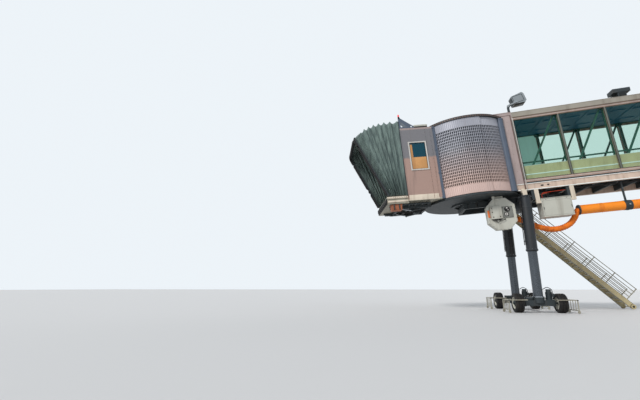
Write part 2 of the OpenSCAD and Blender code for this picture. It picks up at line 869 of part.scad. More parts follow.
// The housing's eight-sided outline, drawn in by inset
module housing2d(inset) {
  w = housing_w;
  h = housing_h;
  c = housing_c;
  translate([housing_x, housing_z]) offset(delta = -inset)
    polygon([[c, 0], [w - c, 0], [w, c], [w, h - c], [w - c, h], [c, h], [0, h - c], [0, c]]);
}

// Eight-sided housing with a lipped front cover, and a button and a gauge panel on it
module drum_housing() {
  c = housing_c;
  y = housing_front;
  color("lightgray") union() {
    upright(y, housing_lip) housing2d(0);
    upright(y + housing_lip, housing_y - y - housing_lip) housing2d(25);
    block(housing_x + 250, housing_x + 600, y - 25, y, housing_z + 480, housing_z + 1060);
    block(housing_x + 640, housing_x + 1040, y - 25, y, housing_z + 520, housing_z + 1000);
    block(housing_x + c, housing_x + housing_w - c, housing_y - 5, -bearer_y - 60, -430, -330);
  }
}

module equipment_box() {
  color("lightgray") block(box_x0, box_x1, -half_w, -bearer_y - 60, box_top - box_h, box_top);
}

pipe_r = 200;
pipe_y = -half_w + 350;
pipe_z = -1050;
pipe_x0 = column_run + 2150;
pipe_x1 = axis_run - 700;

module pipe_run() {
  color("darkorange") translate([pipe_x0, pipe_y, pipe_z]) rotate([0, 90, 0])
    cylinder(h = pipe_x1 - pipe_x0, r = pipe_r, $fn = fn_mid);
}

// One clamp under each crossing beam at a mullion
module pipe_clamps() {
  color("darkslategray") for (i = [2:bay_n - 1]) translate([portal_run + i * bay_len, 0, 0])
    difference() {
      union() {
        translate([-30, pipe_y, pipe_z]) rotate([0, 90, 0])
          cylinder(h = 60, r = pipe_r + 20, $fn = fn_mid);
        block(-30, 30, pipe_y - 30, pipe_y + 30, pipe_z + pipe_r, 40);
      }
      translate([-31, pipe_y, pipe_z]) rotate([0, 90, 0])
        cylinder(h = 62, r = pipe_r + seat, $fn = fn_mid);
    }
}

hose_r = 110;
// Route of the hose from the housing to the pipe, in the tunnel's plane of the pipe
hose_route = [[1480, -1150], [1750, -1230], [2100, -1450], [2500, -1660], [2900, -1770],
  [3300, -1750], [3650, -1600], [3880, -1360], [4000, -1140], [4100, -1050]];
hose_sides = 10;

function hose_dir(i) = let (n = len(hose_route), a = hose_route[max(i - 1, 0)],
  b = hose_route[min(i + 1, n - 1)]) (i == 0 || i == n - 1 ? [1, 0] : (b - a) / norm(b - a));

module hose() {
  n = len(hose_route);
  pts = [for (i = [0:n - 1]) for (k = [0:hose_sides - 1])
    let (d = hose_dir(i), a = k * 360 / hose_sides, u = hose_r * cos(a), v = hose_r * sin(a))
      [hose_route[i][0] - d[1] * v, pipe_y + u, hose_route[i][1] + d[0] * v]];
  color("orangered") polyhedron(points = pts, faces = concat(
    [[for (k = [0:hose_sides - 1]) k]],
    [[for (k = [hose_sides - 1:-1:0]) (n - 1) * hose_sides + k]],
    [for (i = [0:n - 2]) for (k = [0:hose_sides - 1]) let (m = (k + 1) % hose_sides)
      each [[i * hose_sides + k, (i + 1) * hose_sides + k, (i + 1) * hose_sides + m],
        [i * hose_sides + k, (i + 1) * hose_sides + m, i * hose_sides + m]]]));
}

lamp_w = 60;
lamp_tilt = 12;

// Floodlight on a cranked post that stands on the roof cover, its case tapered at the back
module lamp() {
  x = portal_run - lamp_w;
  z0 = cover_z + cover_t;
  z1 = z0 + 330;
  color("gray") union() {
    upright(-half_w, lamp_w) {
      bar2d([x, z0], [x, z1 + lamp_w / 3], lamp_w);
      bar2d([x, z1], [x + 420, z1 + 150], lamp_w);
    }
    translate([x + 320, 0, z1 + 70]) rotate([0, -lamp_tilt, 0]) upright(-half_w + lamp_w, 420)
      polygon([[0, 0], [500, -60], [560, 0], [560, 400], [500, 460], [0, 400]]);
    translate([x + 320, 0, z1 + 70]) rotate([0, -lamp_tilt, 0])
      upright(-half_w, lamp_w + 1) polygon([[0, 0], [160, 0], [160, 120], [0, 120]]);
  }
}

unit_run = 4850;
unit_z = tun_h + roof_t + 110;

// Roof ventilator: a stem on the roof's crown, a wider cap and a stay
module roof_unit() {
  x = portal_run + unit_run;
  y = -half_w + 300;
  color("dimgray") union() {
    block(x - 170, x + 170, y, y + 420, unit_z, unit_z + 430);
    block(x - 350, x + 350, y - 20, y + 440, unit_z + 430, unit_z + 600);
    upright(y + 180, 40) bar2d([x - 520, unit_z + 20], [x - 280, unit_z + 440], 40);
    block(x - 600, x - 470, y + 150, y + 250, unit_z, unit_z + 30);
  }
}

/* Cab, in a frame on the cab axis; its front faces -X */
module cab_discs() {
  color("darkslategray") union() {
    for (z = [disc_z, tun_h + gap]) translate([0, 0, z])
      cylinder(h = disc_t, r = curtain_r + 18, $fn = fn_big);
  }
}

cab_h = tun_h + gap - cab_roof_t;
cab_post_a = 180 - asin((cab_w / 2 - 22) / curtain_r);
cab_back = sqrt(curtain_r * curtain_r - cab_w * cab_w / 4) + 128;
slot_a = cab_post_a + 5;

// Walking deck: round over the disc, with a slot that the fixed curtain slides in
module deck2d() {
  y1 = cab_w / 2 - cab_wall;
  difference() {
    union() {
      circle(r = deck_r, $fn = fn_big);
      translate([-cab_front, -y1]) square([cab_front - 1200, 2 * y1]);
    }
    difference() {
      circle(r = inner_r_curtain + 12, $fn = fn_big);
      circle(r = deck_r, $fn = fn_big);
      polygon([[0, 0], 2 * curtain_r * [cos(slot_a), sin(slot_a)],
        2 * curtain_r * [cos(slot_a), -sin(slot_a)]]);
    }
    difference() {
      translate([-cab_back, -cab_w]) square([2 * cab_back, 2 * cab_w]);
      circle(r = inner_r_curtain, $fn = fn_big);
    }
  }
}

bumper_x = cab_front + canopy_run + 90;

module cab_floor() {
  y1 = cab_w / 2 - cab_wall;
  color("beige") union() {
    translate([0, 0, deck_z]) linear_extrude(deck_t) deck2d();
    translate([0, 0, -gap]) difference() {
      cylinder(h = deck_z + gap, r = ring_r, $fn = fn_big);
      translate([0, 0, -1]) cylinder(h = deck_z + gap + 2, r = ring_r - 100, $fn = fn_big);
    }
    block(-cab_front, -cab_back, -cab_w / 2, cab_w / 2, -gap, 60);
    block(-cab_front, -cab_front + 60, -y1, y1, 50, deck_z);
    block(-bumper_x, -cab_front, -cab_w / 2 + 60, cab_w / 2 - 60, -90, 240);
  }
}

win_x = -cab_front + 340;
win_w = 740;
win_z = 1450;
win_h = 1300;
sole_y = 760;
sole_t = 90;
sole_h = 240;

// Beams under the cab's front: two sole bars, three cross bars and a gearbox between them
module cab_underframe() {
  x0 = -bumper_x + 160;
  x1 = -cab_back - 450;
  color("darkslategray") union() {
    both_sides() upright(sole_y, sole_t)
      polygon([[x0, -90], [x0, -170], [x0 + 350, -gap - sole_h], [x1, -gap - sole_h],
        [x1, -gap], [-cab_front, -gap], [-cab_front, -90]]);
    for (x = [x0 + 400, -cab_front + 40, x1 - 120])
      block(x, x + 120, -sole_y, sole_y, -gap - sole_h + 30, -100);
    block(-cab_front + 250, -cab_front + 750, -sole_y + 200, sole_y - 600, -gap - sole_h, -gap);
  }
}

module cab_walls() {
  color("rosybrown") both_sides() difference() {
    block(-cab_front, -cab_back, cab_w / 2 - cab_wall, cab_w / 2, 60, cab_h);
    block(win_x, win_x + win_w, cab_w / 2 - cab_wall - 1, cab_w / 2 + 1, win_z, win_z + win_h);
  }
}

module cab_windows() {
  color("teal") both_sides() block(win_x, win_x + win_w, cab_w / 2 - cab_wall + 10,
    cab_w / 2 - 10, win_z, win_z + win_h);
}

// Corner posts between the side walls and the curtains
module cab_posts() {
  c = [cos(cab_post_a), sin(cab_post_a)];
  color("slategray") both_sides() translate([0, 0, -gap]) linear_extrude(tun_h + 2 * gap)
    polygon([(curtain_r - curtain_t) * c, (curtain_r + 40) * c, [-cab_back, cab_w / 2],
      [-cab_back, cab_w / 2 - cab_wall]]);
}

module cab_curtains() {
  color("lightgray") union() {
    slat_arc(curtain_r, curtain_t, -cab_post_a, -cab_edge - cab_yaw, -gap, tun_h + gap);
    slat_arc(curtain_r, curtain_t, cab_edge - cab_yaw, cab_post_a, -gap, tun_h + gap);
  }
}

module cab_roof() {
  color("silver") block(-cab_front, -cab_back, -cab_w / 2, cab_w / 2, cab_h, tun_h + gap);
}

gusset_rise = 590;
gusset_run = 780;
gusset_plate = 20;
gusset_edge = 70;

// Three-cornered side plates on the cab's roof, with a three-cornered and a round hole
module cab_gussets() {
  e = gusset_edge;
  h = gusset_rise / 2;
  w = gusset_run / 2;
  color("slategray") both_sides() upright(cab_w / 2 - gusset_plate, gusset_plate)
    translate([-cab_front, tun_h + gap]) difference() {
      polygon([[0, 0], [0, gusset_rise], [gusset_run, 0]]);
      polygon([[e, e], [e, e + h], [e + w * 0.8, e]]);
      translate([gusset_run * 0.72, e]) circle(r = e / 2, $fn = 24);
    }
}

/* Canopy */
fold_x = -cab_front - canopy_run;
fold_z = 310;
hoop_w = 60;
hoop_leg = 120;
frame_t = 40;
hoop_pin = 18;
frame_top = tun_h + 380;

module in_fold(a) {
  in_cab() translate([fold_x, 0, fold_z]) rotate([0, -a, 0]) children();
}

// Fixed arch on the cab that the fabric starts from, with the hoop's pivot brackets
module canopy_frame() {
  w = cab_w / 2;
  x1 = -cab_front;
  color("dimgray") union() {
    difference() {
      block(x1 - frame_t, x1, -w, w, 240, frame_top);
      block(x1 - frame_t - 1, x1 + 1, -w + hoop_leg, w - hoop_leg, 239, frame_top - 300);
    }
    both_sides() {
      block(fold_x - 40, fold_x + 40, w - hoop_leg - 40, w - hoop_leg - 5, 240, fold_z + 40);
      translate([fold_x, w - hoop_leg - 20, fold_z]) rotate([-90, 0, 0])
        cylinder(h = hoop_leg + 20, r = hoop_pin, $fn = fn_mid);
    }
  }
}

module canopy_hoop() {
  w = cab_w / 2;
  color("dimgray") in_fold(canopy_lean) difference() {
    union() {
      both_sides() {
        block(-hoop_w / 2, hoop_w / 2, w - hoop_leg, w, 0, hoop_len);
        translate([0, w - hoop_leg, 0]) rotate([-90, 0, 0])
          cylinder(h = hoop_leg, r = hoop_w / 2, $fn = fn_mid);
      }
      block(-hoop_w / 2, hoop_w / 2, -w, w, hoop_len - hoop_leg, hoop_len);
    }
    translate([0, -w - 1, 0]) rotate([-90, 0, 0])
      cylinder(h = 2 * w + 2, r = hoop_pin + seat, $fn = fn_mid);
  }
}

pleat_h = 50;
cloth_t = 50;
arch_steps = 2 * pleat_n;
// Points of one arch of the fabric, from foot to foot, as [width, height]
function arch(w, h) = [[w, 0], [w, h - 260], [w - 80, h - 80], [w - 260, h],
  [-w + 260, h], [-w + 80, h - 80], [-w, h - 260], [-w, 0]];
arch_n = len(arch(1, 1));

// Arch number i, drawn in by inset: its foot moves forward and it leans over as i grows
function fan(i, inset) = let (u = i / arch_steps, a = canopy_lean * u,
    ridge = (i % 2) * pleat_h,
    x0 = -cab_front - frame_t - seat,
    x1 = fold_x + (hoop_w / 2 + seat) / cos(canopy_lean),
    h0 = frame_top - 250, h1 = hoop_len - 20,
    x = x0 + (x1 - x0) * pow(u, 0.7),
    h = h0 + (h1 - h0) * u + ridge - inset)
  [for (p = arch(cab_w / 2 - 60 + ridge - inset, h))
    [x - p[1] * sin(a), p[0], fold_z - 60 + 60 * u + p[1] * cos(a)]];

module canopy_bellows() {
  n = arch_n;
  m = (arch_steps + 1) * n;
  last = arch_steps * n;
  color("darkseagreen") in_cab() polyhedron(convexity = 8,
    points = concat([for (i = [0:arch_steps]) each fan(i, 0)],
      [for (i = [0:arch_steps]) each fan(i, cloth_t)]),
    faces = concat(
      [for (i = [0:arch_steps - 1]) for (j = [0:n - 2]) let (a = i * n + j, b = a + n)
        each [[a, a + 1, b + 1], [a, b + 1, b], [m + a + 1, m + a, m + b + 1],
          [m + b + 1, m + a, m + b]]],
      [for (j = [0:n - 2]) each [[j + 1, j, m + j], [j + 1, m + j, m + j + 1]]],
      [for (j = [0:n - 2]) let (s = last + j)
        each [[s, s + 1, m + s], [m + s, s + 1, m + s + 1]]],
      [for (i = [0:arch_steps - 1]) let (a = i * n, b = a + n)
        each [[a, b, m + a], [m + a, b, m + b]]],
      [for (i = [0:arch_steps - 1]) let (a = i * n + n - 1, b = a + n)
        each [[b, a, m + a], [b, m + a, m + b]]]));
}

base_plate();
rotunda_column();
rotunda_floor();
rotunda_roof();
terminal_portal();
rotunda_curtains();
hinge_portal();
sliding_curtains();
slew_arm();
in_station() side_beams();
in_station() cross_members();
in_station() tunnel_floor();
in_station() tunnel_roof();
in_station() near_frame();
in_station() far_frame();
in_station() near_glass();
in_station() far_glass();
in_station() near_truss();
in_station() far_truss();
in_station() handrails();
in_station() wainscots();
in_station() hinge_collar();
in_station() cab_portal();
in_station() drum_posts();
in_station() roof_transition();
in_station() inner_curtains();
in_station() cab_bearer();
in_station() hangers();
in_station() service_door();
in_station() landing();
in_station() landing_rails();
in_station() drum_housing();
in_station() equipment_box();
in_station() pipe_run();
in_station() pipe_clamps();
in_station() hose();
in_station() lamp();
in_station() roof_unit();
lift_tubes();
inner_tubes();
axle_beams();
wheel_guards();
near_wheels();
far_wheels();
stair_stringers();
stair_treads();
stair_rails();
in_cab() cab_discs();
in_cab() cab_floor();
in_cab() cab_underframe();
in_cab() cab_walls();
in_cab() cab_windows();
in_cab() cab_posts();
in_cab() cab_curtains();
in_cab() cab_roof();
in_cab() cab_gussets();
in_cab() canopy_frame();
canopy_hoop();
canopy_bellows();
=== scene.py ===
import json
import math
import bmesh
import bpy
from mathutils import Matrix, Vector


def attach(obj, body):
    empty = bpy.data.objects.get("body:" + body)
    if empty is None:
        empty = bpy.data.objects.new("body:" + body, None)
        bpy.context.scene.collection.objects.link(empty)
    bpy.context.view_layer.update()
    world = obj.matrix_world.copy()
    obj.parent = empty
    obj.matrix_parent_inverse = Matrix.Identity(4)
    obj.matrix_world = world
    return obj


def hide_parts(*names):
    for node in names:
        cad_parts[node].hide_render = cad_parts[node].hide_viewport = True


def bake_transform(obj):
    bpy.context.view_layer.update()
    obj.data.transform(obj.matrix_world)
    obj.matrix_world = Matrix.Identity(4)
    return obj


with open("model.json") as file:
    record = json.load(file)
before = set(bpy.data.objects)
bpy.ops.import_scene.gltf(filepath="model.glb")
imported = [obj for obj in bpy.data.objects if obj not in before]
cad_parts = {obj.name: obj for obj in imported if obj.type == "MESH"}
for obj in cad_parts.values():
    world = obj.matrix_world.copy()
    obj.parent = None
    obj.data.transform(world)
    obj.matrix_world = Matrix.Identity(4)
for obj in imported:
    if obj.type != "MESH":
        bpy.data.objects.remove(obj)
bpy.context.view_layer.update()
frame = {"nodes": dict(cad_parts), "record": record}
scene = bpy.context.scene
joints = {j["name"]: j for j in frame["record"]["behaviour"]["joints"]}
bothSides = (-1, 1)
up, down, nearward, alongX = (0, 0, 1), (0, 0, -1), (0, -1, 0), (1, 0, 0)


def axesAt(origin, yAxis, zAxis):
    y, z = Vector(yAxis).normalized(), Vector(zAxis).normalized()
    return Matrix.Translation(Vector(origin)) @ Matrix((y.cross(z), y, z)).transposed().to_4x4()


# the tunnel slopes and the cab is turned: both frames come from the joints
cabTurn = joints["cab_turn"]
tunnelPlace = axesAt(cabTurn["pos_m"], (0, 1, 0), cabTurn["axis"])
cabPlace = axesAt(cabTurn["pos_m"], joints["canopy_fold"]["axis"], cabTurn["axis"])
columnPlace = Matrix.Translation((joints["column_tilt"]["pos_m"][0], 0, 0))
onCab, onTunnel = (cabPlace, "cab"), (tunnelPlace, "tunnel")
onLift, onBogie = (columnPlace, "lift_frame"), (columnPlace, "bogie")
onBase, onSwing, onStair = ((Matrix.Identity(4), body) for body in ("base", "swing_frame", "stair"))
print("frame loaded:", len(frame["nodes"]), "nodes")

# Materials


def linear(rgb):
    return [(c / 12.92 if c <= 0.04045 else ((c + 0.055) / 1.055) ** 2.4) for c in rgb] + [1.0]


class Shader:
    def __init__(self, name, **values):
        self.material = bpy.data.materials.new(name)
        self.material.use_nodes = True
        self.tree = self.material.node_tree
        self.surface = self.tree.nodes["Principled BSDF"]
        self.coords = self.add("ShaderNodeTexCoord").outputs["Object"]
        self.set(self.surface, values)

    def set(self, node, values):
        for key, value in values.items():
            if hasattr(node, key):
                setattr(node, key, value)
            else:
                node.inputs[key.replace("_", " ")].default_value = value
        return node

    def add(self, kind, **values):
        return self.set(self.tree.nodes.new(kind), values)

    def link(self, a, b):
        self.tree.links.new(a, b)

    def feed(self, value, name):
        self.link(value, self.surface.inputs[name])

    def noise(self, scale, detail=5, stretch=(1, 1, 1)):
        mapping = self.add("ShaderNodeMapping", Scale=stretch)
        self.link(self.coords, mapping.inputs["Vector"])
        node = self.add("ShaderNodeTexNoise", Scale=scale, Detail=detail, Roughness=0.6)
        self.link(mapping.outputs["Vector"], node.inputs["Vector"])
        return node.outputs["Fac"]

    def spread(self, value, low, high, toLow=0.0, toHigh=1.0):
        node = self.add("ShaderNodeMapRange", From_Min=low, From_Max=high, To_Min=toLow, To_Max=toHigh)
        self.link(value, node.inputs["Value"])
        return node.outputs["Result"]

    def blend(self, factor, first, second):
        node = self.add("ShaderNodeMix", data_type="RGBA")
        self.link(factor, node.inputs["Factor"])
        for socket, colour in ((node.inputs[6], first), (node.inputs[7], second)):
            if isinstance(colour, list):
                socket.default_value = colour
            else:
                self.link(colour, socket)
        return node.outputs[2]

    def sum(self, first, second):
        node = self.add("ShaderNodeMath", operation="ADD")
        self.link(first, node.inputs[0])
        if isinstance(second, float):
            node.inputs[1].default_value = second
        else:
            self.link(second, node.inputs[1])
        return node.outputs["Value"]

    def height(self, place):
        # how far a point is above a sloping place, so a finish can change with height
        normal, origin = place.col[2].to_3d(), place.translation
        node = self.add("ShaderNodeVectorMath", operation="DOT_PRODUCT")
        node.inputs[1].default_value = normal
        self.link(self.coords, node.inputs[0])
        return self.sum(node.outputs["Value"], -normal.dot(origin))

    def bump(self, height, strength, distance):
        node = self.add("ShaderNodeBump", Strength=strength, Distance=distance)
        self.link(height, node.inputs["Height"])
        self.feed(node.outputs["Normal"], "Normal")

    def weather(self, base, dirt, runs, rough, grain):
        # rain streaks over a base colour, and a fine grain
        streak = self.spread(self.noise(2.4, 7, (1.6, 1.6, 0.16)), *runs)
        self.feed(self.blend(streak, base, linear(dirt)), "Base Color")
        fine = self.noise(38)
        self.feed(self.spread(fine, 0.3, 0.7, *rough), "Roughness")
        self.bump(fine, grain, 0.002)
        return self.material


def paintedSheet(name, colour, dirt, rough=0.45, streaks=0.5, patches=0.5, grain=0.2, metal=0.0, glow=0.0):
    # a sheet with glow gives off its own colour: painted light, not a lamp
    s = Shader(name, Emission_Color=linear(colour), Emission_Strength=glow, Metallic=metal)
    faded = linear([min(1, c * 1.12 + 0.03) for c in colour])
    patch = s.spread(s.noise(0.8, 4), 0.42, 0.68, 0, patches)
    worn = s.blend(patch, linear(colour), faded)
    return s.weather(worn, dirt, (0.52, 0.74, 0, streaks), (rough - 0.1, rough + 0.14), grain)


def litAndShadedPaint(name, upper, lower, dirt, levels, rough=0.34, metal=0.0):
    # painted light and shade: the lower part is painted warm as if lit from the warm ground, and the upper part is
    # painted grey as if in shade
    s = Shader(name, Metallic=metal)
    uneven = s.sum(s.height(cabPlace), s.spread(s.noise(1.3, 4), 0.3, 0.7, -0.10, 0.10))
    base = s.blend(s.spread(uneven, *levels), linear(lower), linear(upper))
    return s.weather(base, dirt, (0.55, 0.76, 0, 0.4), (rough - 0.08, rough + 0.14), 0.12)


def tintedPane(name, tint, depth, shine=0.045):
    # clear when seen straight on, and a mirror at a steep angle
    s = Shader(name, Base_Color=linear(depth))
    s.feed(s.spread(s.noise(3, 3), 0.3, 0.7, 0.02, 0.06), "Roughness")
    clear = s.add("ShaderNodeBsdfTransparent", Color=linear(tint))
    steep = s.add("ShaderNodeMath", operation="POWER")
    steep.inputs[1].default_value = 5
    s.link(s.add("ShaderNodeLayerWeight", Blend=0.5).outputs["Facing"], steep.inputs[0])
    mix = s.add("ShaderNodeMixShader")
    s.link(s.spread(steep.outputs["Value"], 0.0, 1.0, shine, 0.9), mix.inputs["Fac"])
    s.link(clear.outputs["BSDF"], mix.inputs[1])
    s.link(s.surface.outputs["BSDF"], mix.inputs[2])
    s.link(mix.outputs["Shader"], s.tree.nodes["Material Output"].inputs["Surface"])
    return s.material


def pleatedCloth(name, colour, shade):
    s = Shader(name, Roughness=0.72, Sheen_Weight=0.15)
    weave = s.add("ShaderNodeTexWave", wave_type="BANDS", bands_direction="Z", Scale=60)
    s.link(s.coords, weave.inputs["Vector"])
    soil = s.spread(s.noise(2.6, 8, (3, 3, 0.35)), 0.38, 0.66)
    chalk = s.spread(s.noise(9, 6, (2, 2, 0.25)), 0.55, 0.75, 0, 0.35)
    cloth = s.blend(soil, linear(shade), linear(colour))
    s.feed(s.blend(chalk, cloth, linear((0.56, 0.60, 0.55))), "Base Color")
    threads = s.spread(weave.outputs["Fac"], 0, 1, 0, 0.12)
    s.bump(s.sum(s.noise(14, 7, (1, 1, 0.3)), threads), 0.6, 0.02)
    return s.material


def ribbedRubber(name, colour, dust, scale=22):
    s = Shader(name, Roughness=0.78)
    soil = s.spread(s.noise(5, 7), 0.42, 0.7, 0, 0.75)
    s.feed(s.blend(soil, linear(colour), linear(dust)), "Base Color")
    s.bump(s.noise(scale, 6), 0.35, 0.006)
    return s.material


def glowLens(name, colour, strength):
    s = Shader(name, Base_Color=linear(colour), Emission_Color=linear(colour), Emission_Strength=strength)
    s.feed(s.spread(s.noise(30, 3), 0.3, 0.7, 0.15, 0.3), "Roughness")
    return s.material


# name, colour, dirt, roughness, streaks, patches, grain, metal and glow of each paint; glow is a painted light
# that makes a sheet give off its own colour
paints = {
    "cream": ("creamEnamel", (0.84, 0.78, 0.70), (0.50, 0.42, 0.34), 0.42, 0.5, 0.5),
    "beam": ("warmBeamEnamel", (0.77, 0.68, 0.61), (0.50, 0.40, 0.33), 0.42, 0.6, 0.6),
    "rose": ("roseGreyPanel", (0.63, 0.56, 0.54), (0.42, 0.37, 0.35), 0.40, 0.45, 0.6, 0.12),
    "roseBrown": ("roseBrownRail", (0.62, 0.51, 0.45), (0.44, 0.34, 0.28), 0.42, 0.5, 0.5, 0.12),
    "umber": ("umberStripe", (0.36, 0.28, 0.25), (0.24, 0.18, 0.15), 0.5, 0.5, 0.5),
    "slate": ("slateBlueSteel", (0.31, 0.35, 0.41), (0.20, 0.22, 0.25), 0.38, 0.4, 0.4),
    "web": ("slateWeb", (0.39, 0.42, 0.45), (0.26, 0.28, 0.30), 0.40, 0.4, 0.4),
    "dark": ("darkSteelFrame", (0.15, 0.18, 0.19), (0.27, 0.22, 0.17), 0.52, 0.5, 0.3),
    "tube": ("blackSteelTube", (0.09, 0.11, 0.13), (0.20, 0.17, 0.14), 0.42, 0.4, 0.3),
    "innerTube": ("darkSlidingTube", (0.30, 0.32, 0.34), (0.18, 0.17, 0.16), 0.25, 0.4, 0.4, 0.1, 0.6),
    "green": ("deepGreenGirder", (0.17, 0.33, 0.28), (0.33, 0.31, 0.20), 0.45, 0.35, 0.4),
    "olive": ("oliveWainscot", (0.76, 0.69, 0.54), (0.60, 0.53, 0.38), 0.5, 0.6, 0.6),
    "mullion": ("oliveGreyMullion", (0.37, 0.38, 0.34), (0.26, 0.25, 0.21), 0.42, 0.4, 0.4, 0.1),
    # the ceiling's teal stands in for the ceiling in shade behind the tinted glass, and its glow is painted light
    # that lifts it
    "ceiling": ("glowingShadedTealCeiling", (0.0, 0.33, 0.44), (0.0, 0.28, 0.37), 0.45, 0.3, 0.2, 0.2, 0.0, 0.06),
    "grey": ("paleGreyCasing", (0.72, 0.71, 0.66), (0.48, 0.44, 0.38), 0.42, 0.45, 0.4),
    "plate": ("midGreyPlate", (0.47, 0.47, 0.44), (0.33, 0.31, 0.27), 0.42, 0.4, 0.4),
    "lampGrey": ("lampGreyCasing", (0.53, 0.55, 0.56), (0.36, 0.36, 0.35), 0.40, 0.4, 0.4),
    "fascia": ("greyBrownFascia", (0.58, 0.55, 0.50), (0.42, 0.37, 0.32), 0.42, 0.5, 0.5),
    # painted light: the pale aqua door-bay lining stands in for the light seen through glass, and its glow lifts
    # it
    "lining": ("paleAquaGlowLining", (0.72, 0.88, 0.84), (0.62, 0.78, 0.74), 0.45, 0.3, 0.3, 0.1, 0.0, 0.22),
    "trim": ("paleWarmTrim", (0.76, 0.74, 0.71), (0.52, 0.48, 0.44), 0.4, 0.4, 0.4, 0.1),
    "white": ("chalkWhiteEdge", (0.90, 0.90, 0.87), (0.66, 0.62, 0.56), 0.4, 0.4, 0.3, 0.1),
    "zinc": ("hotDipZinc", (0.60, 0.58, 0.52), (0.42, 0.36, 0.28), 0.48, 0.5, 0.8, 0.3, 0.45),
    "sand": ("sandStringer", (0.73, 0.67, 0.51), (0.46, 0.40, 0.27), 0.46, 0.5, 0.6),
    "bright": ("groundSteel", (0.66, 0.68, 0.70), (0.36, 0.35, 0.34), 0.28, 0.3, 0.4, 0.1, 0.9),
    "slats": ("warmGreySlats", (0.68, 0.65, 0.64), (0.48, 0.43, 0.41), 0.38, 0.4, 0.5, 0.1, 0.2),
    "orange": ("orangeDuct", (0.93, 0.50, 0.05), (0.62, 0.27, 0.04), 0.5, 0.45, 0.5),
    "brown": ("rustBrownBox", (0.62, 0.36, 0.23), (0.36, 0.20, 0.12), 0.6, 0.6, 0.6),
    # a tan sheet that paints a reflection onto the lower part of the cab windows
    "blind": ("tanPaintedReflection", (0.76, 0.55, 0.33), (0.60, 0.40, 0.22), 0.5, 0.5, 0.6),
    "marker": ("orangeMarker", (0.88, 0.42, 0.16), (0.62, 0.27, 0.10), 0.45, 0.4, 0.4),
}
finish = {key: paintedSheet(*row) for key, row in paints.items()}
finish.update({
    # the cab walls and curtains carry painted warm light low down and painted shade higher up
    "cabPanel": litAndShadedPaint("litAndShadedCabPanel", (0.47, 0.46, 0.47), (0.66, 0.54, 0.49), (0.36, 0.31, 0.29),
                             (1.93, 2.03)),
    "lattice": litAndShadedPaint("litAndShadedLattice", (0.63, 0.63, 0.66), (0.80, 0.69, 0.65), (0.52, 0.47, 0.46),
                            (0.7, 2.3), 0.36, 0.25),
    # painted shade for the sheet behind the curtain slots, with painted warm light near the bottom
    "liner": litAndShadedPaint("darkCurtainLiner", (0.12, 0.14, 0.17), (0.44, 0.37, 0.34), (0.20, 0.17, 0.16),
                          (0.5, 2.0), 0.5),
    "black": ribbedRubber("blackRubber", (0.05, 0.05, 0.055), (0.16, 0.14, 0.12)),
    "tyre": ribbedRubber("tyreRubber", (0.045, 0.045, 0.05), (0.20, 0.17, 0.14), 30),
    "hose": ribbedRubber("orangeHose", (0.92, 0.46, 0.04), (0.55, 0.22, 0.04), 14),
    "redCable": ribbedRubber("redCableSheath", (0.80, 0.24, 0.10), (0.45, 0.12, 0.06), 30),
    "pane": tintedPane("greenTintPane", (0.955, 0.99, 0.975), (0.03, 0.12, 0.14)),
    "cabPane": tintedPane("tealTintPane", (0.10, 0.45, 0.50), (0.0, 0.35, 0.43), 0.50),
    "cloth": pleatedCloth("greyGreenCloth", (0.46, 0.53, 0.50), (0.27, 0.33, 0.32)),
    "redLens": glowLens("redBeaconLens", (0.85, 0.05, 0.12), 0.6),
    "darkLens": glowLens("floodLens", (0.05, 0.06, 0.07), 0.0),
})

nodeFinish = {
    "cream": "hangers",
    "beam": "side_beams",
    "roseBrown": "near_frame far_frame",
    "fascia": "tunnel_roof",
    "rose": "cab_portal roof_transition hinge_portal hinge_collar cab_roof terminal_portal",
    "cabPanel": "cab_walls",
    "slate": "cab_posts cab_gussets drum_posts",
    "olive": "wainscots",
    "dark": "cross_members cab_bearer axle_beams pipe_clamps cab_discs canopy_frame canopy_hoop slew_arm "
            "roof_unit tunnel_floor cab_underframe",
    "tube": "lift_tubes",
    "green": "near_truss far_truss handrails",
    "pane": "near_glass far_glass",
    "cabPane": "cab_windows",
    "grey": "base_plate rotunda_column rotunda_floor rotunda_roof service_door drum_housing equipment_box",
    "lampGrey": "lamp",
    "lattice": "inner_curtains cab_curtains",
    "slats": "rotunda_curtains sliding_curtains",
    "orange": "pipe_run",
    "innerTube": "inner_tubes",
    "zinc": "wheel_guards stair_treads stair_rails landing landing_rails cab_floor",
    "sand": "stair_stringers",
    "hose": "hose",
    "tyre": "near_wheels far_wheels",
    "cloth": "canopy_bellows",
}
for key, names in nodeFinish.items():
    for name in names.split():
        node = frame["nodes"][name]
        node.data.materials.clear()
        node.data.materials.append(finish[key])
print("materials set:", len(finish))

# the slot that goes with a finish, unless a piece names another
usualSlot = {key: slotName for slotName, keys in {
    "dark_steel": "umber black dark darkLens", "bare_steel": "bright", "galvanised": "zinc",
    "cream_paint": "trim blind cream white beam fascia", "warm_grey_paint": "cabPanel mullion rose plate",
    "grey_paint": "grey brown ceiling lining", "slate_paint": "slate web redLens", "green_paint": "green",
    "orange_paint": "orange marker", "flexible_hose": "redCable", "tyre_rubber": "tyre", "glazing": "cabPane",
}.items() for key in keys.split()}

# Shapes that the pieces below share


def fresh(count):
    return [bmesh.new() for k in range(count)]


def vertsOf(geom):
    return [g for g in geom if isinstance(g, bmesh.types.BMVert)]


def span(middle, half):
    return middle - half, middle + half


def band(inner, outer, end, start=0.0):
    # the profile of a ring or disc, for turned
    return [(start, inner), (start, outer), (end, outer), (end, inner)]


def cap(*rim):
    # the profile of a disc that starts and ends on its axis
    return [(rim[0][0], 0.0), *rim, (rim[-1][0], 0.0)]


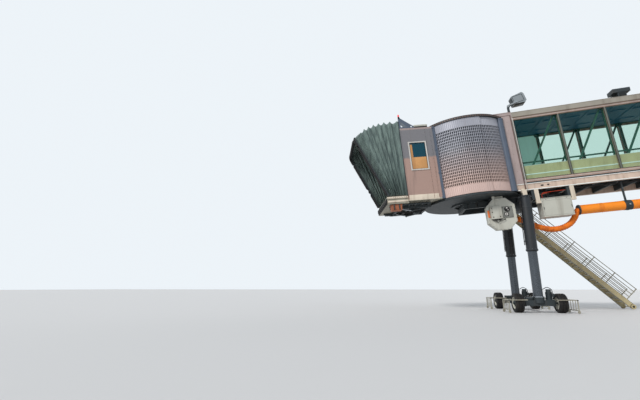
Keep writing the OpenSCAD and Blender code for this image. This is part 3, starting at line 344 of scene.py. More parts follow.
def slab(bm, x, y, z, edge=0.0, segments=2):
    x, y, z = sorted(x), sorted(y), sorted(z)
    made = bmesh.ops.create_cube(bm, size=1.0)["verts"]
    bmesh.ops.scale(bm, vec=(x[1] - x[0], y[1] - y[0], z[1] - z[0]), verts=made)
    bmesh.ops.translate(bm, vec=(sum(x) / 2, sum(y) / 2, sum(z) / 2), verts=made)
    if edge:
        edges = list({e for v in made for e in v.link_edges})
        bmesh.ops.bevel(bm, geom=edges, offset=edge, segments=segments, affect="EDGES", profile=0.5, material=-1)


def pairs(bm, *rows):
    # slabs given for the +Y side and made on both sides
    for side in bothSides:
        for x, y, z, *edge in rows:
            slab(bm, x, [side * v for v in y], z, *edge)


def rod(bm, start, end, radius, sides=14):
    start, end = Vector(start), Vector(end)
    along = end - start
    made = bmesh.ops.create_cone(bm, cap_ends=True, segments=sides, radius1=radius, radius2=radius,
                                 depth=along.length)["verts"]
    bmesh.ops.rotate(bm, cent=(0, 0, 0), matrix=along.to_track_quat("Z", "Y").to_matrix(), verts=made)
    bmesh.ops.translate(bm, vec=(start + end) / 2, verts=made)


def screws(bm, places, out, radius=0.018, height=0.012):
    for place in places:
        rod(bm, Vector(place) - Vector(out) * 0.002, Vector(place) + Vector(out) * height, radius, 6)


def boltCircle(bm, centre, out, reach, count, radius, height=0.012, first=0.0):
    # screws in a circle round the X axis or the Z axis
    axis, start = ("X", Vector((0, reach, 0))) if out[0] else ("Z", Vector((reach, 0, 0)))
    for k in range(count):
        turn = Matrix.Rotation(math.tau * (k + first) / count, 3, axis)
        screws(bm, [Vector(centre) + turn @ start], out, radius, height)


def turned(bm, profile, centre, axis, steps=48):
    # a profile of (distance along the axis, radius) spun all round, closed to a ring where it stays off the axis
    axis = Vector(axis).normalized()
    side = axis.orthogonal().normalized()
    points = [bm.verts.new(Vector(centre) + axis * a + side * r) for a, r in profile]
    edges = [bm.edges.new(pair) for pair in zip(points, points[1:])]
    if profile[0][1] > 0 and profile[-1][1] > 0:
        edges.append(bm.edges.new((points[-1], points[0])))
    bmesh.ops.spin(bm, geom=points + edges, cent=centre, axis=axis, angle=math.tau, steps=steps, use_merge=True)


def cutPlate(bm, outline, normal, thickness):
    # a flat plate with the given corner points, thickened along normal
    face = bm.faces.new([bm.verts.new(p) for p in outline])
    made = bmesh.ops.extrude_face_region(bm, geom=[face])["geom"]
    bmesh.ops.translate(bm, vec=Vector(normal) * thickness, verts=vertsOf(made))


def edging(bm, corners, width, depth):
    # a flat frame just inside an outline in the XZ plane, standing proud by depth
    middle = bm.faces.new([bm.verts.new(c) for c in corners])
    middle.normal_update()
    ring = bmesh.ops.inset_region(bm, faces=[middle], thickness=width, depth=0,
                                  use_boundary=True, use_even_offset=True)["faces"]
    bmesh.ops.delete(bm, geom=[middle], context="FACES")
    made = bmesh.ops.extrude_face_region(bm, geom=ring)["geom"]
    bmesh.ops.translate(bm, vec=(0, depth, 0), verts=vertsOf(made))


def border(bm, x, z, y, out, width, depth):
    edging(bm, [(x[0], y, z[0]), (x[1], y, z[0]), (x[1], y, z[1]), (x[0], y, z[1])], width, out * depth)


def swept(bm, route, radius, sides=14, ribs=(1.0,)):
    # a tube along a route, with a rib height for each ring
    route = [Vector(p) for p in route]
    ring = bmesh.ops.create_circle(bm, cap_ends=True, segments=sides, radius=radius)["verts"]
    heading = (route[1] - route[0]).normalized()
    place = Matrix.Translation(route[0]) @ heading.to_track_quat("Z", "Y").to_matrix().to_4x4()
    bmesh.ops.transform(bm, matrix=place, verts=ring)
    faces = list({f for v in ring for f in v.link_faces})
    for i, point in enumerate(route[1:], 1):
        ahead = route[min(i + 1, len(route) - 1)] - route[i - 1]
        rise = ribs[i % len(ribs)]
        target = (Matrix.Translation(point) @ ahead.to_track_quat("Z", "Y").to_matrix().to_4x4()
                  @ Matrix.Diagonal((rise, rise, 1, 1)))
        made = bmesh.ops.extrude_face_region(bm, geom=faces)["geom"]
        bmesh.ops.delete(bm, geom=faces, context="FACES_ONLY")
        faces = [f for f in made if isinstance(f, bmesh.types.BMFace)]
        bmesh.ops.transform(bm, matrix=target @ place.inverted(), verts=vertsOf(made))
        place = target


def smoothRoute(points, steps=6):
    # a rounded line through given points
    points = [Vector(p) for p in points]
    padded = [points[0] * 2 - points[1]] + points + [points[-1] * 2 - points[-2]]
    line = []
    for a, b, c, d in zip(padded, padded[1:], padded[2:], padded[3:]):
        for k in range(steps):
            t = k / steps
            line.append(0.5 * (2 * b + (c - a) * t + (2 * a - 5 * b + 4 * c - d) * t ** 2
                               + (3 * b - a - 3 * c + d) * t ** 3))
    return line + [points[-1]]


def cable(bm, points, steps, radius, sides):
    swept(bm, smoothRoute(points, steps), radius, sides)


def fanned(bm, count, centre, shape):
    # the same slab made count times round a vertical line
    for k in range(count):
        before = set(bm.verts)
        slab(bm, *shape)
        place = Matrix.Translation(centre) @ Matrix.Rotation(math.tau * k / count, 4, "Z")
        bmesh.ops.transform(bm, matrix=place, verts=[v for v in bm.verts if v not in before])


def piece(name, bm, place, body, slotName, material, stands=(), angle=35, thickness=0.0):
    bmesh.ops.recalc_face_normals(bm, faces=bm.faces)
    bmesh.ops.transform(bm, matrix=place, verts=bm.verts)
    mesh = bpy.data.meshes.new(name)
    bm.to_mesh(mesh)
    bm.free()
    mesh.materials.append(finish[material])
    obj = bpy.data.objects.new(name, mesh)
    scene.collection.objects.link(obj)
    if thickness:
        solid = obj.modifiers.new("wall", "SOLIDIFY")
        solid.thickness, solid.offset = thickness, 0
    mesh.shade_smooth()
    mesh.set_sharp_from_angle(angle=math.radians(angle))
    if body:
        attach(obj, body)
    if stands:
        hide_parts(*stands)
    return obj


def pieces(where, **rows):
    # where is a place and a body, and each row a mesh, its finish and, where it isn't the usual one, its slot
    for name, (bm, material, *slotName) in rows.items():
        piece(name, bm, *where, *(slotName or [usualSlot[material]]), material)


def sideScrews(bm, places, radius=0.018, height=0.012):
    # screws given for the +Y side and made on both sides
    for side in bothSides:
        screws(bm, [(x, side * y, z) for x, y, z in places], (0, side, 0), radius, height)


# Camera, floor and lights
viewPoint = {"position": (-19.91, -18.503, 0.99), "heading": (-0.1968, 0.9804, 0), "pitch": 13.4, "lens": 20.7}
pitch = math.radians(viewPoint["pitch"])
look = Vector(viewPoint["heading"]).normalized() * math.cos(pitch) + Vector((0, 0, math.sin(pitch)))
camera = bpy.data.objects.new("viewCamera", bpy.data.cameras.new("viewCamera"))
camera.data.lens, camera.data.sensor_width = viewPoint["lens"], 36
camera.data.clip_end = 600
camera.matrix_world = (Matrix.Translation(viewPoint["position"])
                       @ look.to_track_quat("-Z", "Y").to_matrix().to_4x4())
scene.collection.objects.link(camera)
scene.camera = camera

studio = {"floorSize": 400, "floor": (0.80, 0.79, 0.78), "sky": (0.86, 0.90, 0.94), "ambient": 0.75,
          "backdrop": (0.93, 0.955, 0.975)}
floorBm = bmesh.new()
bmesh.ops.create_grid(floorBm, x_segments=1, y_segments=1, size=studio["floorSize"] / 2)
bmesh.ops.translate(floorBm, vec=(0, 0, -0.002), verts=floorBm.verts)
floorMesh = bpy.data.meshes.new("studioFloor")
floorBm.to_mesh(floorMesh)
floorBm.free()
floor = bpy.data.objects.new("studioFloor", floorMesh)
scene.collection.objects.link(floor)
floorPaint = Shader("studioFloorPaint", Base_Color=linear(studio["floor"]), Roughness=0.8)
floorMesh.materials.append(floorPaint.material)
for name, power, angle, turn in (("keySun", 2.2, 14, (52, 0, -38)), ("fillSun", 0.5, 40, (66, 0, 150))):
    light = bpy.data.lights.new(name, "SUN")
    light.energy, light.angle = power, math.radians(angle)
    lamp = bpy.data.objects.new(name, light)
    lamp.rotation_euler = [math.radians(a) for a in turn]
    scene.collection.objects.link(lamp)
world = bpy.data.worlds.new("studioWorld")
scene.world = world
world.use_nodes = True
nodes, links = world.node_tree.nodes, world.node_tree.links
background, seen = nodes["Background"], nodes.new("ShaderNodeBackground")
for node, colour, strength in ((background, studio["sky"], studio["ambient"]), (seen, studio["backdrop"], 1.0)):
    node.inputs["Color"].default_value = linear(colour)
    node.inputs["Strength"].default_value = strength
path = nodes.new("ShaderNodeLightPath")
share = path.outputs["Is Camera Ray"]
for ray in ("Is Glossy Ray", "Is Transmission Ray"):
    either = nodes.new("ShaderNodeMath")
    either.operation = "MAXIMUM"
    links.new(share, either.inputs[0])
    links.new(path.outputs[ray], either.inputs[1])
    share = either.outputs["Value"]
choice = nodes.new("ShaderNodeMixShader")
for k, source in enumerate((share, background.outputs["Background"], seen.outputs["Background"])):
    links.new(source, choice.inputs[k])
links.new(choice.outputs["Shader"], nodes["World Output"].inputs["Surface"])
scene.view_settings.view_transform = "Standard"
print("camera and lights set")

# Folding canopy: cloth hung on ribs that fan out from the cab to the front hoop
canopy = {"halfWidth": 1.262, "rearX": -3.3405, "foldX": -4.180, "foldZ": 0.31, "lean": 24, "rearHeight": 3.63,
          "frontHeight": 3.16, "wide": 7, "tight": 5, "share": 0.80, "rib": 0.086, "tightRib": 0.050,
          "sag": (1.0, 0.42, 0.12, 0.0, 0.12, 0.42), "bendFrom": -3.3605, "bendTo": -4.80, "cut": (9.6, 3.4),
          "thick": 0.008}


def canopyArch(u, proud):
    lean = math.radians(canopy["lean"]) * u
    frontX = canopy["foldX"] + 0.0303 / math.cos(math.radians(canopy["lean"]))
    x = canopy["rearX"] + (frontX - canopy["rearX"]) * u ** 0.7
    height = canopy["rearHeight"] + (canopy["frontHeight"] - canopy["rearHeight"]) * u ** 2.5
    foot = canopy["foldZ"] - 0.05 + 0.05 * u
    return (Matrix.Translation((x, 0, foot)) @ Matrix.Rotation(-lean, 4, "Y")
            @ Matrix.Diagonal((1, canopy["halfWidth"] + proud, height + proud, 1)))


def foldingCanopy():
    bm = bmesh.new()
    sag = canopy["sag"]
    wide, tight = canopy["wide"] * len(sag), canopy["tight"] * len(sag)
    stops = [(canopy["share"] * k / wide, canopy["rib"] * sag[k % len(sag)]) for k in range(wide)]
    for k in range(tight + 1):
        u = canopy["share"] + (1 - canopy["share"]) * k / tight
        stops.append((u, canopy["tightRib"] * sag[k % len(sag)]))
    half = [(1, 0), (1, 0.45), (1, 0.93), (0.985, 0.965), (0.95, 0.988), (0.88, 1.0), (0.5, 1.0)]
    arch = half + [(0, 1.0)] + [(-y, z) for y, z in reversed(half)]
    verts = [bm.verts.new((0, y, z)) for y, z in arch]
    edges = [bm.edges.new(pair) for pair in zip(verts, verts[1:])]
    place = canopyArch(*stops[0])
    bmesh.ops.transform(bm, matrix=place, verts=verts)
    for stop in stops[1:]:
        made = bmesh.ops.extrude_edge_only(bm, edges=edges)["geom"]
        verts = vertsOf(made)
        edges = [g for g in made if isinstance(g, bmesh.types.BMEdge) and all(v in verts for v in g.verts)]
        target = canopyArch(*stop)
        bmesh.ops.transform(bm, matrix=target @ place.inverted(), verts=verts)
        place = target
    # the cut's area is summed from this sheet itself, so a check of the one against the other shows no stretch
    area = round(sum(f.calc_area() for f in bm.faces), 2)
    print("canopy cloth area", area)
    cloth = piece("foldingCanopy", bm, cabPlace, None, "canopy_fabric", "cloth", ["canopy_bellows"], 50,
                  canopy["thick"])
    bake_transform(cloth)


foldingCanopy()
print("canopy made")

# Slotted curtains: many small openings in rows round the arc, with plain bands above and below
lattice = {"radius": 2.11, "thick": 0.02, "bottom": -0.01, "top": 3.51, "rows": 20, "column": 0.080,
           "slot": 0.050, "plainTop": 0.40, "plainBottom": 0.42, "seam": 0.009, "liner": 0.003}
innerLattice = {**lattice, "radius": 2.072, "bottom": 0.01, "top": 3.50, "plainTop": 0.39, "plainBottom": 0.41}


def arcWall(bm, r, levels, start, end, steps):
    angle = math.radians(start)
    verts = [bm.verts.new((r * math.cos(angle), r * math.sin(angle), z)) for z in levels]
    edges = [bm.edges.new(pair) for pair in zip(verts, verts[1:])]
    bmesh.ops.spin(bm, geom=verts + edges, cent=(0, 0, 0), axis=up, angle=math.radians(end - start),
                   steps=int(steps))


def slottedCurtain(name, s, arcs, where, stands):
    grid, liner = fresh(2)
    low, high = s["bottom"] + s["plainBottom"], s["top"] - s["plainTop"]
    rows = [low + (high - low) * k / s["rows"] for k in range(s["rows"] + 1)]

    for start, end in arcs:
        before = set(grid.faces)
        r = s["radius"] - s["thick"] / 2
        steps = math.radians(end - start) * r / s["column"]
        arcWall(grid, r, [s["bottom"]] + rows + [s["top"]], start, end, steps)
        made = [f for f in grid.faces if f not in before]
        cells = [f for f in made if low < f.calc_center_median().z < high]
        bands = [f for f in made if f not in set(cells)]
        bmesh.ops.inset_individual(grid, faces=cells, thickness=(s["column"] - s["slot"]) / 2, depth=0)
        bmesh.ops.delete(grid, geom=cells, context="FACES")
        bmesh.ops.inset_individual(grid, faces=bands, thickness=s["seam"], depth=s["seam"])
        # a sheet just inside the curtain, seen through the slots, is painted shade: dark higher up and warmer near
        # the bottom
        r = s["radius"] - s["thick"] + s["liner"]
        arcWall(liner, r, (s["bottom"], s["top"]), start, end, (end - start) / 2)
    piece(name, grid, *where, "perforated_curtain", "lattice", stands, 20, s["thick"])
    piece(name + "Liner", liner, *where, "perforated_curtain", "liner", (), 20, s["liner"])


slottedCurtain("slottedCurtain", lattice, ((-141.0, -84.85), (62.85, 141.0)), onCab, ["cab_curtains"])
print("cab curtain made")

# Cab: trims on the turning discs, the walls, the roof and the corner posts
cab = {"halfWidth": 1.35, "frontX": -3.30, "discZ": (-0.12, 3.51), "window": ((-2.96, -2.22), (1.45, 2.75)),
       "stripes": 120, "skirt": 0.25, "blind": 0.45}


def discRims():
    stripes, beads = fresh(2)
    low = cab["discZ"][1]
    fanned(stripes, cab["stripes"], (0, 0, 0), ((2.123, 2.139), span(0, 0.030), (low + 0.012, low + 0.098)))
    for z in cab["discZ"]:
        for rise in (0.004, 0.100):
            turned(beads, band(2.120, 2.142, 0.008), (0, 0, z + rise), up, 96)
    pieces(onCab, discRims=(stripes, "umber"), rimBeads=(beads, "black"))


def wallTrims():
    (x0, x1), (z0, z1) = cab["window"]
    y, front = cab["halfWidth"], cab["frontX"]
    pale, frameBm, dark, blind, seams = fresh(5)
    reflectionTop = z0 + (z1 - z0) * cab["blind"]
    # a tan sheet just behind the glass is a painted reflection over the lower part of the window, and a strip of
    # it runs up the front edge
    pairs(blind, ((x0, x1), (y - 0.012, y - 0.004), (z0, reflectionTop), 0.002),
          ((x0, x0 + 0.13), (y - 0.011, y - 0.005), (reflectionTop, z1 - 0.08), 0.002))
    pairs(pale, ((front + 0.01, -1.90), (y, y + 0.006), (0.0, cab["skirt"]), 0.002))
    pairs(seams, ((-2.150, -2.130), (y, y + 0.012), (0.05, 3.42), 0.003),
          ((-1.93, -1.90), (y, y + 0.010), (0.05, 3.42), 0.003),
          ((front, front + 0.03), (y, y + 0.014), (0.05, 3.45), 0.003))
    for side in bothSides:
        for bm, grow, width, depth in ((frameBm, 0.05, 0.055, 0.028), (dark, 0.002, 0.02, 0.016)):
            border(bm, (x0 - grow, x1 + grow), (z0 - grow, z1 + grow), side * y, side, width, depth)
    sideScrews(dark, [(x, y + 0.012, 0.15 + 0.22 * k) for x in (-2.14, -1.915) for k in range(15)], 0.008, 0.006)
    pieces(onCab, windowFrames=(frameBm, "trim", "warm_grey_paint"), wallSeams=(seams, "cabPanel"),
           windowBlinds=(blind, "blind"), wallSkirts=(pale, "cream"), wallGaskets=(dark, "black"))


def roofCap():
    bm, dark = fresh(2)
    y, high, low = 1.372, (3.560, 3.645), (3.512, 3.560)
    slab(bm, (-2.62, -2.15), span(0, y), high, 0.012)
    slab(dark, (-2.60, -2.15), span(0, y - 0.01), low, 0.004)
    pairs(bm, ((-2.15, -1.98), (1.02, y), high, 0.012))
    pairs(dark, ((-2.15, -1.99), (1.03, y - 0.01), low, 0.004))
    for k in range(5):
        slab(bm, (-3.26, -2.64), span(-1.2 + 0.6 * k, 0.012), (3.510, 3.530), 0.004)
    pieces(onCab, roofCap=(bm, "grey", "cream_paint"), roofGasket=(dark, "black"))


def beacon():
    base, lens = fresh(2)
    x, y = -3.275, -1.345
    slab(base, (x - 0.03, x + 0.05), (y - 0.02, y + 0.05), (4.02, 4.065), 0.004)
    turned(base, cap((0, 0.045), (0.03, 0.045), (0.045, 0.034), (0.06, 0.034)),
           (x, y + 0.015, 4.065), up, 20)
    turned(lens, [(0, 0.0), (0, 0.040), (0.07, 0.040), (0.095, 0.030), (0.108, 0.014), (0.110, 0.0)],
           (x, y + 0.015, 4.125), up, 20)
    pieces(onCab, beaconBase=(base, "black"), beaconLens=(lens, "redLens"))


def postTrims():
    bm = bmesh.new()
    for z in (0.0, 1.15, 2.3, 3.40):
        pairs(bm, ((-1.80, -1.72), (1.352, 1.368), (z, z + 0.09), 0.005))
        sideScrews(bm, [(-1.76, 1.366, z + 0.045)], 0.014)
    for side in bothSides:
        rod(bm, (-1.77, side * 1.358, 0.0), (-1.77, side * 1.358, 3.5), 0.012, 10)
    pieces(onCab, postTrims=(bm, "slate"))


def gussetStiffeners():
    bm, web = fresh(2)
    pairs(bm, ((-3.30, -3.26), (1.24, 1.33), (3.51, 4.08), 0.004),
          ((-3.24, -2.56), (1.25, 1.33), (3.512, 3.526), 0.003))
    for side in bothSides:
        screws(bm, [(-3.18 + 0.14 * k, side * 1.29, 3.526) for k in range(5)], up, 0.016)
        rod(bm, (-3.25, side * 1.30, 4.03), (-2.60, side * 1.30, 3.56), 0.012, 10)
        outline = ((-3.12, 3.573), (-2.905, 3.573), (-3.238, 3.888), (-3.238, 3.70))
        cutPlate(web, [(x, side * 1.334, z) for x, z in outline], (0, side, 0), 0.012)
    pieces(onCab, gussetStiffeners=(bm, "slate"), gussetWebs=(web, "web"))


def frontBumper():
    planks, rubber, box, steel = fresh(4)
    for k in range(5):
        x = -4.24 + 0.19 * k
        slab(planks, (x, x + 0.175), (-1.27, 1.27), (0.238, 0.262), 0.006)
    for z, reach in ((0.15, 0.045), (-0.02, 0.03)):
        pairs(planks, ((-4.25, -3.32), (1.288, 1.288 + reach), (z, z + 0.085), 0.01))
    for k in range(8):
        slab(rubber, (-4.325, -4.27), span(-1.16 + 0.33 * k, 0.12), (-0.02, 0.18), 0.03, 3)
    slab(rubber, (-4.30, -4.268), (-1.28, 1.28), (-0.075, -0.03), 0.008)
    slab(box, (-4.10, -3.62), (-1.24, -0.90), (-0.37, -0.095), 0.02)
    slab(box, (-4.12, -3.60), (-1.26, -0.88), (-0.14, -0.115), 0.006)
    for x in (-3.98, -3.74):
        slab(steel, span(x, 0.03), (-1.262, -1.255), (-0.36, -0.095), 0.003)
        screws(steel, [(x, -1.262, z) for z in (-0.32, -0.20)], nearward, 0.012)
    screws(steel, [(-4.2 + 0.1 * k, -1.334, 0.19) for k in range(9)], nearward, 0.012)
    pieces(onCab, bumperPlanks=(planks, "cream"), bumperRubbers=(rubber, "black"), stowageBox=(box, "brown"),
           stowageStraps=(steel, "dark"))


def underGear():
    bm, rams, pipes = fresh(3)
    for side in bothSides:
        y = side * 0.62
        rod(bm, (-2.35, y, -0.20), (-3.05, y, -0.31), 0.055, 20)
        rod(rams, (-3.05, y, -0.31), (-3.62, y, -0.20), 0.028, 16)
        turned(bm, band(0, 0.07, 0.03, -0.03), (-3.05, y, -0.31), (-0.988, 0, -0.155), 20)
        rod(bm, (-4.0, side * 1.18, -0.13), (-2.3, side * 1.18, -0.13), 0.03, 12)
    for x in (-2.35, -3.62):
        pairs(bm, (span(x, 0.06), (0.56, 0.68), (-0.26, -0.10), 0.01))
    for k in range(6):
        pairs(bm, ((-3.9 + 0.3 * k, -3.84 + 0.3 * k), (0.86, 1.22), (-0.16, -0.09), 0.006))
    turned(bm, cap((0, 0.15), (0.05, 0.16), (0.18, 0.16), (0.20, 0.12), (0.36, 0.12)),
           (-2.75, -0.35, -0.27), (0, 1, 0), 28)
    for k in range(4):
        cable(pipes, [(-4.0, -0.5 + 0.09 * k, -0.12), (-3.5, -0.48 + 0.08 * k, -0.30),
                      (-3.0, -0.45 + 0.1 * k, -0.34), (-2.5, -0.42 + 0.1 * k, -0.29),
                      (-2.2, -0.40 + 0.1 * k, -0.16)], 5, 0.016, 8)
    pieces(onCab, underBrackets=(bm, "dark"), levelRams=(rams, "bright"), underPipes=(pipes, "black"))


for make in (discRims, wallTrims, roofCap, beacon, postTrims, gussetStiffeners, frontBumper, underGear):
    make()
print("cab trims made")

# Front hoop of the canopy: a soft rubber bumper on its front face, and its clamps
hoop = {"height": 3.18, "halfWidth": 1.35, "bumper": 0.055, "clamps": 9}
hoopPlace = (cabPlace @ Matrix.Translation((canopy["foldX"], 0, canopy["foldZ"]))
             @ Matrix.Rotation(math.radians(-canopy["lean"]), 4, "Y"))


def hoopBumper():
    bm, clips = fresh(2)
    y, top = hoop["halfWidth"] - 0.06, hoop["height"] - 0.06
    half = [(y, 0.06), (y, 1.0), (y, 2.2), (y, top - 0.28), (y - 0.06, top - 0.07), (y - 0.28, top), (0.5, top)]
    line = half + [(0, top)] + [(-yy, z) for yy, z in reversed(half)]
    cable(bm, [(-hoop["bumper"], *point) for point in line], 5, hoop["bumper"], 14)
    for k in range(hoop["clamps"]):
        z = 0.2 + k * 0.33
        pairs(clips, (span(0, 0.034), (1.342, 1.356), (z, z + 0.05), 0.004))
        sideScrews(clips, [(0.0, 1.356, z + 0.025)], 0.010)
    piece("hoopBumper", bm, hoopPlace, "canopy", "flexible_hose", "black", angle=60)
    pieces((hoopPlace, "canopy"), hoopClips=(clips, "dark"))


hoopBumper()
# the curtain behind the cab's own, fixed to the tunnel
slottedCurtain("innerCurtain", innerLattice, ((-103.8, -45.05), (45.05, 103.8)), onTunnel, ["inner_curtains"])
print("hoop and inner curtain made")

# Tunnel glazing: gaskets, mullion caps, ceiling, pale kick lines and the white edge at the cab end
tunnel = {"start": 2.15, "bay": 1.91, "bays": 6, "half": 1.35, "top": 3.50, "sill": 0.36, "rail": 0.13,
          "mullion": 0.07, "doorBay": 0, "joint": 0.955}
barEnds = [tunnel["start"] + tunnel["bay"] * k for k in range(tunnel["bays"] + 1)]
tunnelStart, tunnelEnd, tunnelSide = barEnds[0], barEnds[-1], tunnel["half"]


def glazingTrims():
    rubber, caps, bars = fresh(3)
    low, high, y = tunnel["sill"] + tunnel["rail"], tunnel["top"] - tunnel["rail"], tunnelSide
    for side in bothSides:
        for k in range(tunnel["bays"]):
            if side > 0 and k == tunnel["doorBay"]:
                continue
            x0, x1 = barEnds[k] + tunnel["mullion"] / 2, barEnds[k + 1] - tunnel["mullion"] / 2
            border(rubber, (x0 - 0.006, x1 + 0.006), (low - 0.006, high + 0.006), side * y, side, 0.022, 0.005)
    for x in barEnds[:-1]:
        pairs(bars, (span(x, 0.034), (y, y + 0.012), (low + 0.002, high - 0.002), 0.004))
    for z in (low - 0.075, high + 0.055):
        pairs(caps, ((tunnelStart, tunnelEnd), (y, y + 0.010), (z, z + 0.018), 0.003))
    pieces(onTunnel, paneGaskets=(rubber, "black"), mullionCaps=(bars, "mullion"), railCaps=(caps, "trim"))


def cabEndEdge():
    white, dark, warm = fresh(3)
    y = tunnelSide
    pairs(white, ((2.140, 2.164), (y, y + 0.022), (0.02, 3.50), 0.004))
    pairs(dark, ((2.060, 2.100), (y, y + 0.016), (0.05, 3.62), 0.004),
          ((0.42, 2.10), (y, y + 0.006), (3.616, 3.640), 0.002))
    pairs(warm, ((0.40, 2.12), (y, y + 0.012), (3.765, 3.792), 0.004))
    for k in range(4):
        pairs(warm, ((0.80 + 0.4 * k, 0.815 + 0.4 * k), (y, y + 0.008), (3.64, 3.765), 0.002))
    sideScrews(dark, [(1.90, y, 0.5 + 0.4 * k) for k in range(8)], 0.010, 0.008)
    pieces(onTunnel, whiteEdge=(white, "trim"), edgeGasket=(dark, "umber"), coverTrims=(warm, "rose"))


def drumTrims():
    bm = bmesh.new()
    x = 1.5797
    for y in (-1.37, 1.37):
        for z in (0.0, 3.44):
            turned(bm, band(0.10, 0.162, 0.05), (x, y, z), up, 40)
        for k in range(6):
            turned(bm, band(0.148, 0.1535, 0.018), (x, y, 0.55 + 0.5 * k), up, 40)
    pieces(onTunnel, drumCollars=(bm, "slate"))


def ceiling():
    bm, ribs, lights = fresh(3)
    slab(bm, (tunnelStart + 0.02, tunnelEnd - 0.02), (-1.13, 1.13), (3.435, 3.455))
    for k in range(2 * tunnel["bays"]):
        x = tunnelStart + 0.5 + tunnel["joint"] * k
        slab(ribs, span(x, 0.02), (-1.12, 1.12), (3.415, 3.436), 0.003)
        pairs(lights, ((x + 0.15, x + 0.75), span(0.55, 0.08), (3.405, 3.433), 0.006))
    # the ceiling pieces carry painted shade in their teal and a painted glow
    pieces(onTunnel, ceilingLining=(bm, "ceiling"), ceilingRibs=(ribs, "ceiling"),
           ceilingLights=(lights, "ceiling"))


def kickLines():
    pale, dark = fresh(2)
    for side in bothSides:
        reach = (tunnelStart if side < 0 else barEnds[1], tunnelEnd)
        for y, z, edge in (((1.246, 1.256), (0.70, 0.75), 0.003), ((1.246, 1.256), (0.50, 0.535), 0.003),
                           ((1.222, 1.252), (1.128, 1.142), 0.003)):
            slab(pale, reach, [side * v for v in y], z, edge)
    for x in barEnds[1:-1]:
        pairs(dark, (span(x, 0.006), (1.245, 1.249), (0.37, 1.12)),
              *((span(x, 0.02), (1.13, 1.145), span(z, 0.02), 0.003) for z in (0.67, 1.32)))
    pieces(onTunnel, kickLines=(pale, "white"), wainscotSeams=(dark, "green"))


def girderPlates():
    bm = bmesh.new()
    y = 1.212
    for k, x in enumerate(barEnds):
        wide = 0.17 if 0 < k < tunnel["bays"] else 0.09
        for z, rise in ((0.40, 0.16), (3.455, -0.16)):
            outline = ((-wide, z), (wide, z), (wide * 0.6, z + rise), (-wide * 0.6, z + rise))
            for side in bothSides:
                cutPlate(bm, [(x + dx, side * y, zz) for dx, zz in outline], (0, side, 0), 0.010)
            spots = [(x + dx, y + 0.010, z + rise * f) for dx in (-0.06, 0.06) for f in (0.3, 0.7)]
            sideScrews(bm, spots, 0.013, 0.010)
    pieces(onTunnel, girderPlates=(bm, "green"))


# Tunnel beams and roof
beam = {"start": 1.75, "end": 13.92, "joints": 13}


def beamTrims():
    pale, bolts, holes = fresh(3)
    for z in ((0.0, 0.038), (0.272, 0.300)):
        pairs(pale, ((beam["start"], beam["end"]), (tunnelSide, tunnelSide + 0.008), z, 0.002))
    for k in range(beam["joints"]):
        x = tunnelStart + tunnel["joint"] * k
        pairs(bolts, (span(x, 0.05), (1.33, 1.344), (0.045, 0.265), 0.004))
        spots = [(xx, 1.344, z) for xx in span(x, 0.028) for z in (0.09, 0.155, 0.22)]
        sideScrews(bolts, spots, 0.011, 0.010)
    for x in (2.72, 2.98):
        for side in bothSides:
            slab(holes, (x, x + 0.11), (side * 1.331, side * 1.336), (0.13, 0.18), 0.02, 3)
    pieces(onTunnel, beamEdges=(pale, "white"), beamJoints=(bolts, "beam"), handHoles=(holes, "black"))


def roofTrims():
    bm, seams, gutter = fresh(3)
    end = 13.74
    pairs(bm, ((tunnelStart, end), (1.352, 1.400), (3.722, 3.742), 0.004),
          ((tunnelStart, end), (1.388, 1.397), (3.500, 3.530), 0.003))
    pairs(gutter, ((tunnelStart + 0.02, end - 0.02), (1.30, 1.355), (3.562, 3.572)))
    for x in barEnds[:-1]:
        pairs(bm, ((x + 0.02, x + 0.05), (1.388, 1.396), (3.53, 3.722), 0.002))
    for k in range(2 * tunnel["bays"]):
        slab(seams, span(tunnelStart + 0.4 + tunnel["joint"] * k, 0.012), (-1.08, 1.08), (3.668, 3.700), 0.004)
    pairs(seams, ((tunnelStart, end), span(0.6, 0.012), (3.668, 3.692), 0.004))
    pieces(onTunnel, roofFlashing=(bm, "fascia"), roofSeams=(seams, "grey", "cream_paint"),
           roofGutter=(gutter, "dark", "grey_paint"))


for make in (glazingTrims, cabEndEdge, drumTrims, ceiling, kickLines, girderPlates, beamTrims, roofTrims):
    make()
print("tunnel, beams and roof dressed")

# Floodlight and roof ventilator
flood = {"x": 2.09, "z": 4.12, "near": -1.29, "width": 0.42, "tilt": -12, "droop": math.atan2(-0.06, 0.50)}
floodPlace = (tunnelPlace @ Matrix.Translation((flood["x"] + 0.32, flood["near"], flood["z"] + 0.07))
              @ Matrix.Rotation(math.radians(flood["tilt"]), 4, "Y"))


